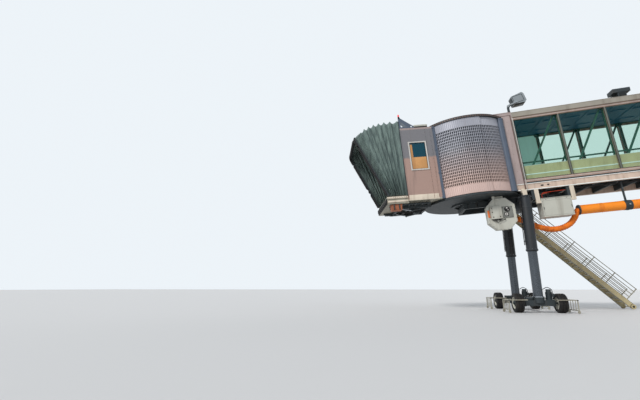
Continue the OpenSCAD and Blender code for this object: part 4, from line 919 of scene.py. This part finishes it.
def floodlight():
    lens, dark, steel, foot = fresh(4)
    w = flood["width"]
    slab(lens, (0.04, 0.47), (0.03, w - 0.03), (-0.016, -0.002), 0.004)
    bmesh.ops.rotate(lens, cent=(0, 0, 0), matrix=Matrix.Rotation(-flood["droop"], 3, "Y"), verts=lens.verts)
    slab(dark, (-0.012, 0.0), (0.03, w - 0.03), (0.03, 0.36), 0.004)
    border(dark, (0.02, 0.48), (0.02, 0.38), 0.0, -1, 0.02, 0.006)
    for k in range(9):
        slab(dark, (0.558, 0.585), (0.03 + 0.042 * k, 0.042 + 0.042 * k), (0.02, 0.38), 0.003)
    screws(steel, [(x, -0.006, z) for x in (0.03, 0.47) for z in (0.03, 0.37)], nearward, 0.012)
    turned(steel, band(0, 0.035, 0.02), (0.08, -0.062, 0.06), nearward, 16)
    pieces((floodPlace, "tunnel"), floodLens=(lens, "darkLens"), floodFins=(dark, "dark"),
           floodBolts=(steel, "bright"))
    slab(foot, (2.02, 2.15), (-1.348, -1.24), (3.790, 3.804), 0.003)
    slab(foot, (2.045, 2.135), (-1.360, -1.280), (3.800, 4.060), 0.010)
    screws(foot, [(x, y, 3.804) for x in (2.038, 2.135) for y in (-1.33, -1.26)], up, 0.010)
    cable(foot, [(2.13, -1.28, 3.80), (2.14, -1.28, 4.0), (2.2, -1.28, 4.12), (2.40, -1.26, 4.20)], 4, 0.020, 10)
    pieces(onTunnel, floodFoot=(foot, "dark"))


def ventilator():
    bm, dark = fresh(2)
    x, y0, y1, z = 7.0, -1.05, -0.63, 3.67
    for k in range(6):
        louvre = (z + 0.06 + 0.06 * k, z + 0.09 + 0.06 * k)
        for y in ((y0 - 0.012, y0), (y1, y1 + 0.012)):
            slab(dark, span(x, 0.13), y, louvre, 0.003)
        slab(dark, (x - 0.182, x - 0.17), (y0 + 0.04, y1 - 0.04), louvre, 0.003)
    slab(bm, span(x, 0.24), (y0 - 0.07, y1 + 0.07), (z, z + 0.016), 0.004)
    slab(bm, span(x, 0.355), (y0 - 0.025, y1 + 0.025), (z + 0.595, z + 0.612), 0.004)
    spots = [(x + dx, y, z + 0.016) for dx in (-0.21, 0, 0.21) for y in (y0 - 0.045, y1 + 0.045)]
    screws(bm, spots, up, 0.012)
    pieces(onTunnel, ventLouvres=(dark, "black"), ventFlashing=(bm, "slate", "dark_steel"))


# Flexible duct from the housing to the pipe run: too wide for a cord, so it is a plain ribbed piece
duct = {"y": -1.0, "z": -1.05, "radius": 0.126, "sleeve": 0.14, "ribs": (1.0, 0.90, 0.90, 1.0), "clamp": 0.134,
        "route": ((1.48, -1.15), (1.75, -1.23), (2.10, -1.45), (2.50, -1.66), (2.90, -1.77), (3.30, -1.75),
                  (3.65, -1.60), (3.88, -1.36), (4.00, -1.14), (4.10, -1.05))}


def flexibleDuct():
    bm, rings = fresh(2)
    line = smoothRoute([(x, duct["y"], z) for x, z in duct["route"]], 16)
    swept(bm, line, duct["radius"], 20, duct["ribs"])
    turned(rings, band(0.10, duct["clamp"], 0.05), (1.482, duct["y"], -1.15), (0.955, 0, -0.295), 28)
    turned(rings, band(0.11, 0.212, 0.03), (4.078, duct["y"], duct["z"]), alongX, 36)
    piece("flexibleDuct", bm, *onTunnel, "flexible_hose", "hose", ["hose"], 50)
    pieces(onTunnel, ductRings=(rings, "dark"))


def pipeTrims():
    bands, seams, straps = fresh(3)
    y, z = duct["y"], duct["z"]
    for k in range(8):
        turned(seams, band(0.196, 0.206, 0.012), (5.0 + 1.05 * k, y, z), alongX, 40)
    for x in (4.10, 13.34):
        turned(bands, band(0, 0.222, 0.022), (x, y, z), alongX, 40)
        boltCircle(straps, (x, y, z), (-1, 0, 0), 0.212, 10, 0.008, 0.010)
    for x in barEnds[2:6]:
        turned(bands, band(0.198, 0.2085, 2 * duct["sleeve"]), (x - duct["sleeve"], y, z), alongX, 40)
        slab(bands, span(x, 0.05), span(y, 0.07), (0.025, 0.040), 0.003)
        for side in bothSides:
            slab(straps, span(x, 0.028), (y + side * 0.222, y + side * 0.25), (-1.075, -1.025), 0.004)
        screws(straps, [(x, y - 0.03, -0.6), (x, y - 0.03, -0.3)], nearward, 0.012)
    pieces(onTunnel, pipeSeams=(seams, "orange"), pipeBands=(bands, "dark"), clampEars=(straps, "bright"))


# Eight-sided housing: lip, cover screws, button panel, gauge panel and its sockets
housing = {"x": 0.30, "z": -1.64, "wide": 1.18, "high": 1.40, "cut": 0.33, "face": -1.41, "panel": -1.435,
           "gauge": (1.13, -0.76), "socket": (1.07, -0.98),
           "loops": ((0.50, 0.66, -1.25), (0.58, 0.80, -1.31), (0.74, 0.98, -1.24))}


def housingOutline(inset):
    w, h, c = housing["wide"], housing["high"], housing["cut"]
    corners = [(c, 0), (w - c, 0), (w, c), (w, h - c), (w - c, h), (c, h), (0, h - c), (0, c)]
    grow, middleX, middleZ = 1 - 2 * inset / h, housing["x"] + w / 2, housing["z"] + h / 2
    return [(middleX + (x - w / 2) * grow, middleZ + (z - h / 2) * grow) for x, z in corners]


def housingTrims():
    lip, bolts, dark, panel, plate, marker = fresh(6)
    face, y = housing["face"], housing["panel"]
    front = y - 0.055
    edging(lip, [(x, face, z) for x, z in housingOutline(0.012)], 0.045, -0.008)
    corners = housingOutline(0.036)
    for (xa, za), (xb, zb) in zip(corners, corners[1:] + corners[:1]):
        spots = [(xa + (xb - xa) * t, face - 0.008, za + (zb - za) * t) for t in (0.18, 0.5, 0.82)]
        screws(bolts, spots, nearward, 0.012)
    slab(lip, (0.43, 0.90), (front, y), (-1.15, -0.59), 0.008)
    slab(dark, (0.44, 0.89), (front + 0.01, y), (-1.166, -1.15), 0.003)
    for x, z in ((0.50, -0.66), (0.50, -0.84), (0.52, -1.06), (0.80, -1.06)):
        turned(dark, cap((0, 0.024), (0.012, 0.020)), (x, front, z), nearward, 18)
    slab(lip, (0.70, 0.76), (y, face), (-0.60, -0.26), 0.006)
    slab(plate, (0.932, 1.348), (y - 0.008, y), (-1.128, -0.632), 0.006)
    (gx, gz), (sx, sz) = housing["gauge"], housing["socket"]
    turned(dark, cap((0, 0.115), (0.03, 0.105)), (gx, y - 0.008, gz), nearward, 28)
    turned(panel, [(0, 0.0), (0, 0.040), (0.022, 0.030), (0.03, 0.0)], (gx - 0.01, y - 0.038, gz + 0.05),
           nearward, 20)
    turned(panel, cap((0, 0.022), (0.02, 0.016)), (gx + 0.03, y - 0.038, gz - 0.04), nearward, 16)
    slab(dark, span(sx, 0.085), (y - 0.026, y - 0.008), span(sz, 0.085), 0.006)
    border(panel, span(sx, 0.055), span(sz, 0.055), y - 0.026, -1, 0.03, 0.006)
    screws(dark, [(x, y - 0.008, z) for x in (0.96, 1.32) for z in (-1.10, -0.66)], nearward, 0.012)
    for start, end, low in housing["loops"]:
        cable(dark, [(start, y + 0.02, -1.17), (start, y - 0.03, -1.20), ((start + end) / 2, y - 0.035, low),
                     (end, y - 0.03, -1.20), (end, y + 0.02, -1.17)], 6, 0.012, 8)
        for x in (start, end):
            turned(dark, cap((0, 0.022), (0.04, 0.020)), (x, y - 0.008, -1.165), down, 14)
    slab(marker, (0.318, 0.398), (face - 0.024, face - 0.002), (-1.06, -0.74), 0.006)
    slab(lip, (0.70, 1.10), (-1.30, -1.06), (-0.236, -0.12), 0.01)
    slab(lip, (0.62, 0.72), (-1.40, -1.34), (-0.26, -0.02), 0.008)
    pieces(onTunnel, housingLip=(lip, "grey"), housingBolts=(bolts, "bright"), housingControls=(dark, "black"),
           housingGauges=(panel, "trim", "grey_paint"), housingPlate=(plate, "plate"),
           housingMarker=(marker, "marker"))


def boxTrims():
    seam, steel, lip = fresh(3)
    x0, x1, y, z0, z1 = 2.60, 3.78, -1.35, -1.25, -0.45
    border(seam, (x0 + 0.03, x1 - 0.03), (z0 + 0.04, z1 - 0.10), y, -1, 0.006, 0.003)
    slab(lip, (x0 - 0.015, x1 + 0.015), (y - 0.028, -0.74), (z1, z1 + 0.016), 0.005)
    slab(lip, (x0 - 0.012, x1 + 0.012), (y - 0.010, -0.75), (z0 - 0.014, z0), 0.005)
    slab(lip, span(x0, 0.012), (y - 0.010, y + 0.02), (z0, z1), 0.005)
    screws(steel, [(x, y, z1 - 0.05) for x in (2.78, 3.19, 3.60)], nearward, 0.013)
    for x in (2.645, 3.735):
        rod(steel, (x, y - 0.012, -0.93), (x, y - 0.012, -0.83), 0.010, 10)
    pieces(onTunnel, boxSeams=(seam, "plate", "dark_steel"), boxLatches=(steel, "dark", "bare_steel"),
           boxEdges=(lip, "grey"))


def conduits():
    red, dark = fresh(2)
    for k, y in enumerate((-1.362, -1.374)):
        drop = 0.03 * k
        cable(red, [(2.90, -1.30, -0.18 - drop), (2.74, y, -0.20 - drop), (2.66, y, -0.28), (2.655, y, -0.42)],
              6, 0.010, 10)
    cable(red, [(2.90, -1.30, -0.18), (3.3, -1.24, -0.15), (3.7, -1.22, -0.14), (3.80, -1.10, -0.10)],
          6, 0.011, 10)
    for k in range(5):
        y = -0.98 + 0.05 * k
        cable(dark, [(2.2, y, -0.03), (5.0, y, -0.025), (9.0, y, -0.03), (13.6, y, -0.025)], 5, 0.014, 8)
    for k in range(12):
        for z in ((-0.012, 0.038), (-0.056, -0.046)):
            slab(dark, span(2.6 + tunnel["joint"] * k, 0.02), (-1.02, -0.74), z, 0.003)
    pieces(onTunnel, redConduit=(red, "redCable"), cableTray=(dark, "black"))


# Bearer of the cab: bolted flanges, ring bolts and hangers
def bearerTrims():
    bm, bright = fresh(2)
    for x in (2.34, 3.75):
        pairs(bm, (span(x, 0.09), (1.20, 1.336), (-0.035, -0.012), 0.004))
        for side in bothSides:
            screws(bm, [(x + dx, side * 1.28, -0.035) for dx in (-0.06, 0.06)], down, 0.014)
            corners = ((1.23, -0.18), (0.98, -0.18), (1.23, -0.04))
            cutPlate(bm, [(x, side * y, z) for y, z in corners], alongX, 0.012)
    for k in range(10):
        pairs(bm, (span(-0.3 + 0.42 * k, 0.006), (0.762, 0.81), (-0.43, -0.19), 0.003))
    for z in ((-0.444, -0.430), (-0.194, -0.182)):
        pairs(bm, ((-0.5, 3.81), (0.76, 0.815), z, 0.003))
    boltCircle(bright, (0, 0, -0.181), down, 0.83, 36, 0.016)
    turned(bm, cap((0, 0.13), (0.05, 0.14), (0.24, 0.14), (0.28, 0.10)), (1.02, 0.30, -0.47),
           down, 28)
    slab(bm, (0.86, 1.18), (0.14, 0.46), (-0.475, -0.44), 0.006)
    pieces(onTunnel, bearerFlanges=(bm, "dark"), ringBolts=(bright, "bright"))


for make in (floodlight, ventilator, flexibleDuct, pipeTrims, housingTrims, boxTrims, conduits, bearerTrims):
    make()
print("lamp, ventilator, duct, housing, box and bearer dressed")

# Lift columns
column = {"y": 1.48, "top": 4.833, "bottom": 2.50, "pivot": 5.0035}


def columnTrims():
    dark, bright, black, seal = fresh(4)
    bottom = column["bottom"]
    for side in bothSides:
        y = side * column["y"]
        boltCircle(bright, (0, y, column["top"]), down, 0.232, 12, 0.012, first=0.5)
        boltCircle(bright, (0, y, bottom + 0.06), up, 0.226, 12, 0.008, first=0.5)
        turned(dark, band(0.20, 0.224, 0.02), (0, y, 3.60), up, 40)
        turned(dark, band(0.20, 0.226, 0.03), (0, y, 4.36), up, 40)
        turned(seal, [(0, 0.181), (0, 0.212), (-0.02, 0.206), (-0.03, 0.181)], (0, y, bottom), up, 40)
        for dx in (-0.07, 0.07):
            rod(black, (dx, y - side * 0.228, 2.62), (dx, y - side * 0.228, 4.38), 0.013, 10)
            rod(black, (-0.235, y + dx, 2.75), (-0.235, y + dx, 4.70), 0.016, 10)
        for z in (2.9, 3.4, 3.9, 4.3):
            slab(dark, (-0.25, -0.20), span(y, 0.10), (z, z + 0.03), 0.004)
            slab(dark, (-0.09, 0.09), (y - side * 0.205, y - side * 0.245), (z + 0.02, z + 0.045), 0.004)
        for out in bothSides:
            turned(bright, cap((0, 0.036), (0.006, 0.036), (0.010, 0.030)),
                   (0, y + out * 0.0405, column["pivot"]), (0, out, 0), 20)
        for x in (-0.155, 0.145):
            slab(dark, (x, x + 0.010), (side * 0.3, side * 1.20), (4.42, 4.625), 0.003)
        slab(dark, (-0.11, 0.11), span(y, 0.06), (4.874, 4.890), 0.003)
    for z in (4.395, 4.643):
        slab(dark, (-0.17, 0.17), (-1.22, 1.22), (z, z + 0.012), 0.003)
    cable(black, [(0.16, -0.9, 4.66), (0.18, -0.4, 4.69), (0.16, 0.2, 4.67), (0.17, 0.9, 4.66)], 6, 0.018, 10)
    pieces(onLift, columnCollars=(dark, "dark"), columnBolts=(bright, "bright"), columnPipes=(black, "black"),
           columnSeals=(seal, "black"))


# Wheels, hubs, motors and guards of the axle beams
wheel = {"track": 0.80, "radius": 0.38, "nuts": 8, "treadBlocks": 40, "groundReach": 0.376, "smallest": 0.0025}
tyreHalf = [(0.034, 0.380), (0.040, 0.366), (0.052, 0.366), (0.058, 0.380), (0.118, 0.379), (0.152, 0.362),
            (0.165, 0.325), (0.165, 0.28), (0.150, 0.245), (0.120, 0.232)]
tyreProfile = [(-x, r) for x, r in reversed(tyreHalf)] + tyreHalf + [(0.0, 0.230)]
rimProfile = cap((-0.090, 0.190), (-0.142, 0.236), (-0.142, 0.248), (-0.132, 0.248), (-0.105, 0.228),
                 (0.105, 0.228), (0.132, 0.248), (0.142, 0.248), (0.142, 0.236), (0.120, 0.212), (0.045, 0.196),
                 (0.035, 0.118))
hubProfile = cap((0.04, 0.112), (0.125, 0.112), (0.135, 0.100), (0.135, 0.062), (0.172, 0.058), (0.182, 0.040))


def wheelSet(side, which):
    tyres, rims, hubs = fresh(3)
    y, z = side * column["y"], wheel["radius"]
    for out in bothSides:
        x = out * wheel["track"]
        turned(tyres, tyreProfile, (x, y, z), (out, 0, 0), wheel["treadBlocks"])
        turned(rims, rimProfile, (x, y, z), (out, 0, 0), 40)
        turned(hubs, hubProfile, (x, y, z), (out, 0, 0), 32)
        boltCircle(hubs, (x + out * 0.040, y, z), (out, 0, 0), 0.155, wheel["nuts"], 0.016, 0.026)
    bmesh.ops.recalc_face_normals(tyres, faces=tyres.faces)
    blocks = []
    for f in tyres.faces:
        middle = f.calc_center_median()
        if math.hypot(middle.y - y, middle.z - z) > wheel["groundReach"] and f.calc_area() > wheel["smallest"]:
            blocks.append(f)
    bmesh.ops.inset_individual(tyres, faces=blocks, thickness=0.006, depth=-0.008)
    rod(hubs, (-0.70, y, z), (0.70, y, z), 0.044, 24)
    where = (columnPlace, which + "_wheel_set")
    piece(which + "Tyres", tyres, *where, "tyre_rubber", "tyre", [which + "_wheels"], 30)
    pieces(where, **{which + "Rims": (rims, "grey", "galvanised"), which + "Hubs": (hubs, "dark")})


def bogieTrims():
    dark, bright, black, casters = fresh(4)
    for side in bothSides:
        y = side * column["y"]
        fanned(dark, 24, (0.40, y, 0.49), ((0.104, 0.121), span(0, 0.003), (0.05, 0.32)))
        turned(dark, cap((0, 0.096), (0.09, 0.096), (0.10, 0.080)), (0.40, y, 0.83), up, 28)
        slab(dark, (0.50, 0.60), span(y, 0.06), (0.62, 0.76), 0.01)
        cable(black, [(0.55, y, 0.76), (0.52, y, 0.92), (0.36, y, 1.0), (0.20, y, 0.92)], 5, 0.014, 8)
        outline = ((0.30, 0.30), (0.62, 0.30), (0.66, 0.40), (0.50, 0.60), (0.32, 0.60))
        cutPlate(black, [(x, y - side * 0.132, z) for x, z in outline], (0, -side, 0), 0.045)
        for x, face, out in ((-0.55, -0.55, -1), (0.525, 0.550, 1)):
            slab(dark, (x, x + 0.025), span(y, 0.16), (0.25, 0.51), 0.005)
            screws(bright, [(face, y + dy, z) for dy in (-0.12, 0.12) for z in (0.29, 0.47)], (out, 0, 0), 0.014)
        turned(bright, band(0.18, 0.226, 0.03), (0, y, 0.61), up, 40)
        boltCircle(bright, (0, y, 0.64), up, 0.20, 10, 0.010)
        slab(dark, (-0.50, -0.24), span(y, 0.10), (0.49, 0.62), 0.012)
        slab(black, (-0.48, -0.26), span(y, 0.104), (0.53, 0.55), 0.003)
        for x in (-1.245, 1.245):
            for yy in (y - 0.43, y + 0.43):
                turned(casters, band(0, 0.05, 0.016, -0.016), (x, yy, 0.052), (0, 1, 0), 18)
                slab(casters, span(x, 0.03), span(yy, 0.03), (0.100, 0.116), 0.004)
                slab(dark, span(x, 0.028), span(yy, 0.028), (0.486, 0.520), 0.005)
            for yy in (y - 0.22, y, y + 0.22):
                rod(casters, (x, yy, 0.12), (x, yy, 0.509), 0.012, 10)
    for k in range(9):
        slab(dark, (-0.10, 0.10), span(-1.2 + 0.3 * k, 0.006), (0.30, 0.46), 0.003)
    cable(black, [(0.11, -1.3, 0.47), (0.13, -0.5, 0.475), (0.12, 0.5, 0.475), (0.11, 1.3, 0.47)], 5, 0.02, 10)
    pieces(onBogie, motorFins=(dark, "dark"), bogieBolts=(bright, "bright"), bogieCovers=(black, "black"),
           guardFeet=(casters, "zinc", "yellow_paint"))


columnTrims()
wheelSet(-1, "near")
wheelSet(1, "far")
bogieTrims()
print("columns, wheels and bogie dressed")

# Stair: gratings, nosings, bars of its frame and foot rollers
stairPivot = joints["stair_pitch"]["pos_m"]
stair = {"treads": 24, "width": 0.70, "y": 2.63, "pitch": math.radians(45), "foot": 0.11, "plate": 0.04}
stairPlace = Matrix.Translation((stairPivot[0], 0, stairPivot[2])) @ Matrix.Rotation(stair["pitch"], 4, "Y")


def stairTrims():
    bars, nosing, clips, rollers, frameBars = fresh(5)
    drop = stairPivot[2] - stair["foot"]
    rise, length = drop / (stair["treads"] + 1), drop / math.sin(stair["pitch"])
    y0, y1 = span(stair["y"], stair["width"] / 2)
    for k in range(1, stair["treads"] + 1):
        x, z = stairPivot[0] + k * rise, stairPivot[2] - k * rise
        for j in range(7):
            xx = x - 0.10 + 0.032 * j
            slab(bars, (xx, xx + 0.006), (y0 + 0.01, y1 - 0.01), (z + 0.0175, z + 0.024))
        slab(nosing, (x + 0.098, x + 0.120), (y0, y1), (z + 0.004, z + 0.026), 0.003)
        for y, out in ((y0 - stair["plate"], -1), (y1 + stair["plate"], 1)):
            screws(clips, [(x - 0.05, y, z), (x + 0.05, y, z)], (0, out, 0), 0.010)
    for y in (y0 - 0.02, y1 + 0.02):
        for out in (-0.11, 0.11):
            slab(frameBars, (0.10, length - 0.02), span(y, 0.028), span(out, 0.006), 0.002)
    step = (length - 1.2) / 5
    for k in range(6):
        rod(frameBars, (0.6 + k * step, y0, -0.075), (0.6 + k * step, y1, -0.075), 0.018, 12)
    rod(frameBars, (0.6, y0, -0.075), (0.6 + step, y1, -0.075), 0.012, 10)
    for y in (y0 - 0.0725, y1 + 0.0725):
        turned(rollers, band(0.03, 0.112, 0.026, -0.026), (length, y, 0), (0, 1, 0), 30)
        turned(rollers, band(0, 0.05, 0.031, -0.031), (length, y, 0), (0, 1, 0), 20)
    pieces(onStair, treadBars=(bars, "zinc"), treadNosings=(nosing, "bright", "galvanised"),
           treadBolts=(clips, "bright"))
    pieces((stairPlace, "stair"), stairFrameBars=(frameBars, "zinc"), footRollers=(rollers, "tyre"))


def landingTrims():
    bars, board = fresh(2)
    top = 0.30
    for count, first, step, y in ((24, 0.90, 0.04, (2.45, 3.02)), (20, 1.92, 0.062, (1.56, 2.04))):
        for k in range(count):
            slab(bars, (first + step * k, first + step * k + 0.006), y, (top, top + 0.008))
    for k in range(6):
        slab(bars, (0.90, 1.86), (2.47 + 0.10 * k, 2.476 + 0.10 * k), (top, top + 0.007))
    for x, y in (((0.86, 1.87), (3.034, 3.042)), ((0.846, 0.854), (2.35, 3.04)), ((1.98, 3.36), (2.044, 2.052))):
        slab(board, x, y, (top, top + 0.12), 0.002)
    for x in (2.30, 3.0):
        cutPlate(board, [(x, 1.36, 0.21), (x, 1.90, 0.21), (x, 1.36, 0.03)], alongX, 0.012)
    pieces(onTunnel, landingGrating=(bars, "zinc"), toeBoards=(board, "zinc"))


def doorTrims():
    leaf, steel, pane, lining = fresh(4)
    x0, x1, y, z0, z1 = 2.45, 3.35, 1.33, 0.36, 2.51
    border(leaf, (x0 - 0.03, x1 + 0.03), (z0, z1 + 0.04), 1.345, 1, 0.045, 0.016)
    border(leaf, (2.70, 3.10), (1.55, 2.30), y, 1, 0.035, 0.012)
    slab(leaf, (x0 + 0.04, x1 - 0.04), (y, y + 0.004), (0.40, 0.66), 0.002)
    slab(pane, (2.735, 3.065), (y + 0.001, y + 0.006), (1.585, 2.265))
    for z in (0.62, 1.42, 2.22):
        rod(steel, (x1 - 0.01, y + 0.012, z - 0.06), (x1 - 0.01, y + 0.012, z + 0.06), 0.014, 12)
    slab(steel, (2.50, 2.55), (y, y + 0.010), (1.28, 1.50), 0.004)
    rod(steel, (2.525, y + 0.01, 1.40), (2.525, y + 0.05, 1.40), 0.010, 12)
    rod(steel, (2.515, y + 0.05, 1.40), (2.65, y + 0.05, 1.40), 0.010, 12)
    # a pale aqua lining with a painted glow inside the door bay
    slab(lining, (2.20, 3.99), (1.222, 1.238), (1.145, 3.42), 0.003)
    slab(lining, (2.44, 3.36), (1.214, 1.222), (1.16, 2.52), 0.004)
    pieces(onTunnel, doorLining=(lining, "lining"), doorFrame=(leaf, "trim", "grey_paint"),
           doorFittings=(steel, "bright"), doorPane=(pane, "cabPane"))


for make in (stairTrims, landingTrims, doorTrims):
    make()
print("stair, landing and door dressed")

# Rotunda: anchor nuts, column bands, roof edge, portal seals and hinge pins
rotunda = {"anchors": 8, "anchorRadius": 0.75, "hingeX": -2.15, "hingeZ": 6.04}


def rotundaTrims():
    nuts, bands, roof, seal = fresh(4)
    for k in range(rotunda["anchors"]):
        angle = math.tau * (k + 0.5) / rotunda["anchors"]
        x, y = rotunda["anchorRadius"] * math.cos(angle), rotunda["anchorRadius"] * math.sin(angle)
        for low, high, *shape in ((0.050, 0.056, 0.048, 24), (0.056, 0.092, 0.036, 6), (0.0, 0.125, 0.0195, 16)):
            rod(nuts, (x, y, low), (x, y, high), *shape)
    for z in (0.62, 2.4, 4.2):
        turned(bands, band(0.44, 0.455, 0.014), (0, 0, z), up, 64)
    boltCircle(nuts, (0, 0, 5.79), up, 0.64, 24, 0.018, 0.016, 0.5)
    slab(bands, (0.30, 0.46), (-0.16, 0.16), (1.0, 1.55), 0.01)
    rod(bands, (0.452, 0.0, 1.55), (0.452, 0.0, 5.4), 0.022, 14)
    turned(roof, band(2.10, 2.135, 0.10), (0, 0, 9.555), up, 96)
    fanned(roof, 16, (0, 0, 0), ((0.25, 1.84), span(0, 0.012), (9.735, 9.775)))
    turned(roof, cap((0, 0.20), (0.05, 0.20), (0.07, 0.16)), (0, 0, 9.850), up, 32)
    for x in (2.795, 2.74):
        pairs(seal, ((x, x + 0.014), (1.352, 1.375), (6.22, 9.54), 0.003))
        slab(seal, (x, x + 0.014), (-1.37, 1.37), (9.562, 9.585), 0.003)
    pairs(bands, ((1.80, 2.80), (1.352, 1.362), (9.45, 9.55), 0.003),
          ((1.80, 2.80), (1.352, 1.362), (6.24, 6.36), 0.003), ((2.28, 2.31), (1.352, 1.360), (6.36, 9.45), 0.002))
    pieces(onBase, anchorNuts=(nuts, "zinc", "bare_steel"), columnBands=(bands, "grey"),
           rotundaRoofTrims=(roof, "slate", "grey_paint"), terminalSeal=(seal, "black"))


def hingeTrims():
    pins, arm, collar = fresh(3)
    for side in bothSides:
        turned(pins, cap((0, 0.058), (0.012, 0.058), (0.018, 0.05)),
               (rotunda["hingeX"], side * 1.3105, rotunda["hingeZ"]), (0, side, 0), 24)
    sideScrews(pins, [(-2.10 + 0.1 * j, 1.361, 6.4 + 0.5 * k) for j in range(3) for k in range(6)], 0.012)
    screws(pins, [(-1.95, -1.2 + 0.16 * k, 5.60 + 0.1 * (k % 2)) for k in range(16)], (-1, 0, 0), 0.014)
    for z in ((5.788, 5.802), (5.518, 5.530)):
        pairs(arm, ((-1.84, -0.2), (0.29, 0.49), z, 0.004))
    for k in range(5):
        pairs(arm, (span(-1.6 + 0.28 * k, 0.006), (0.481, 0.53), (5.535, 5.785), 0.002))
    pairs(collar, ((13.63, 13.66), (1.352, 1.364), (0.37, 3.46), 0.003))
    sideScrews(collar, [(13.80, 1.350, 0.6 + 0.36 * k) for k in range(8)], 0.011)
    pieces(onSwing, hingePins=(pins, "bright"), armFlanges=(arm, "dark"))
    pieces(onTunnel, collarTrims=(collar, "rose"))


rotundaTrims()
hingeTrims()
print("rotunda dressed")
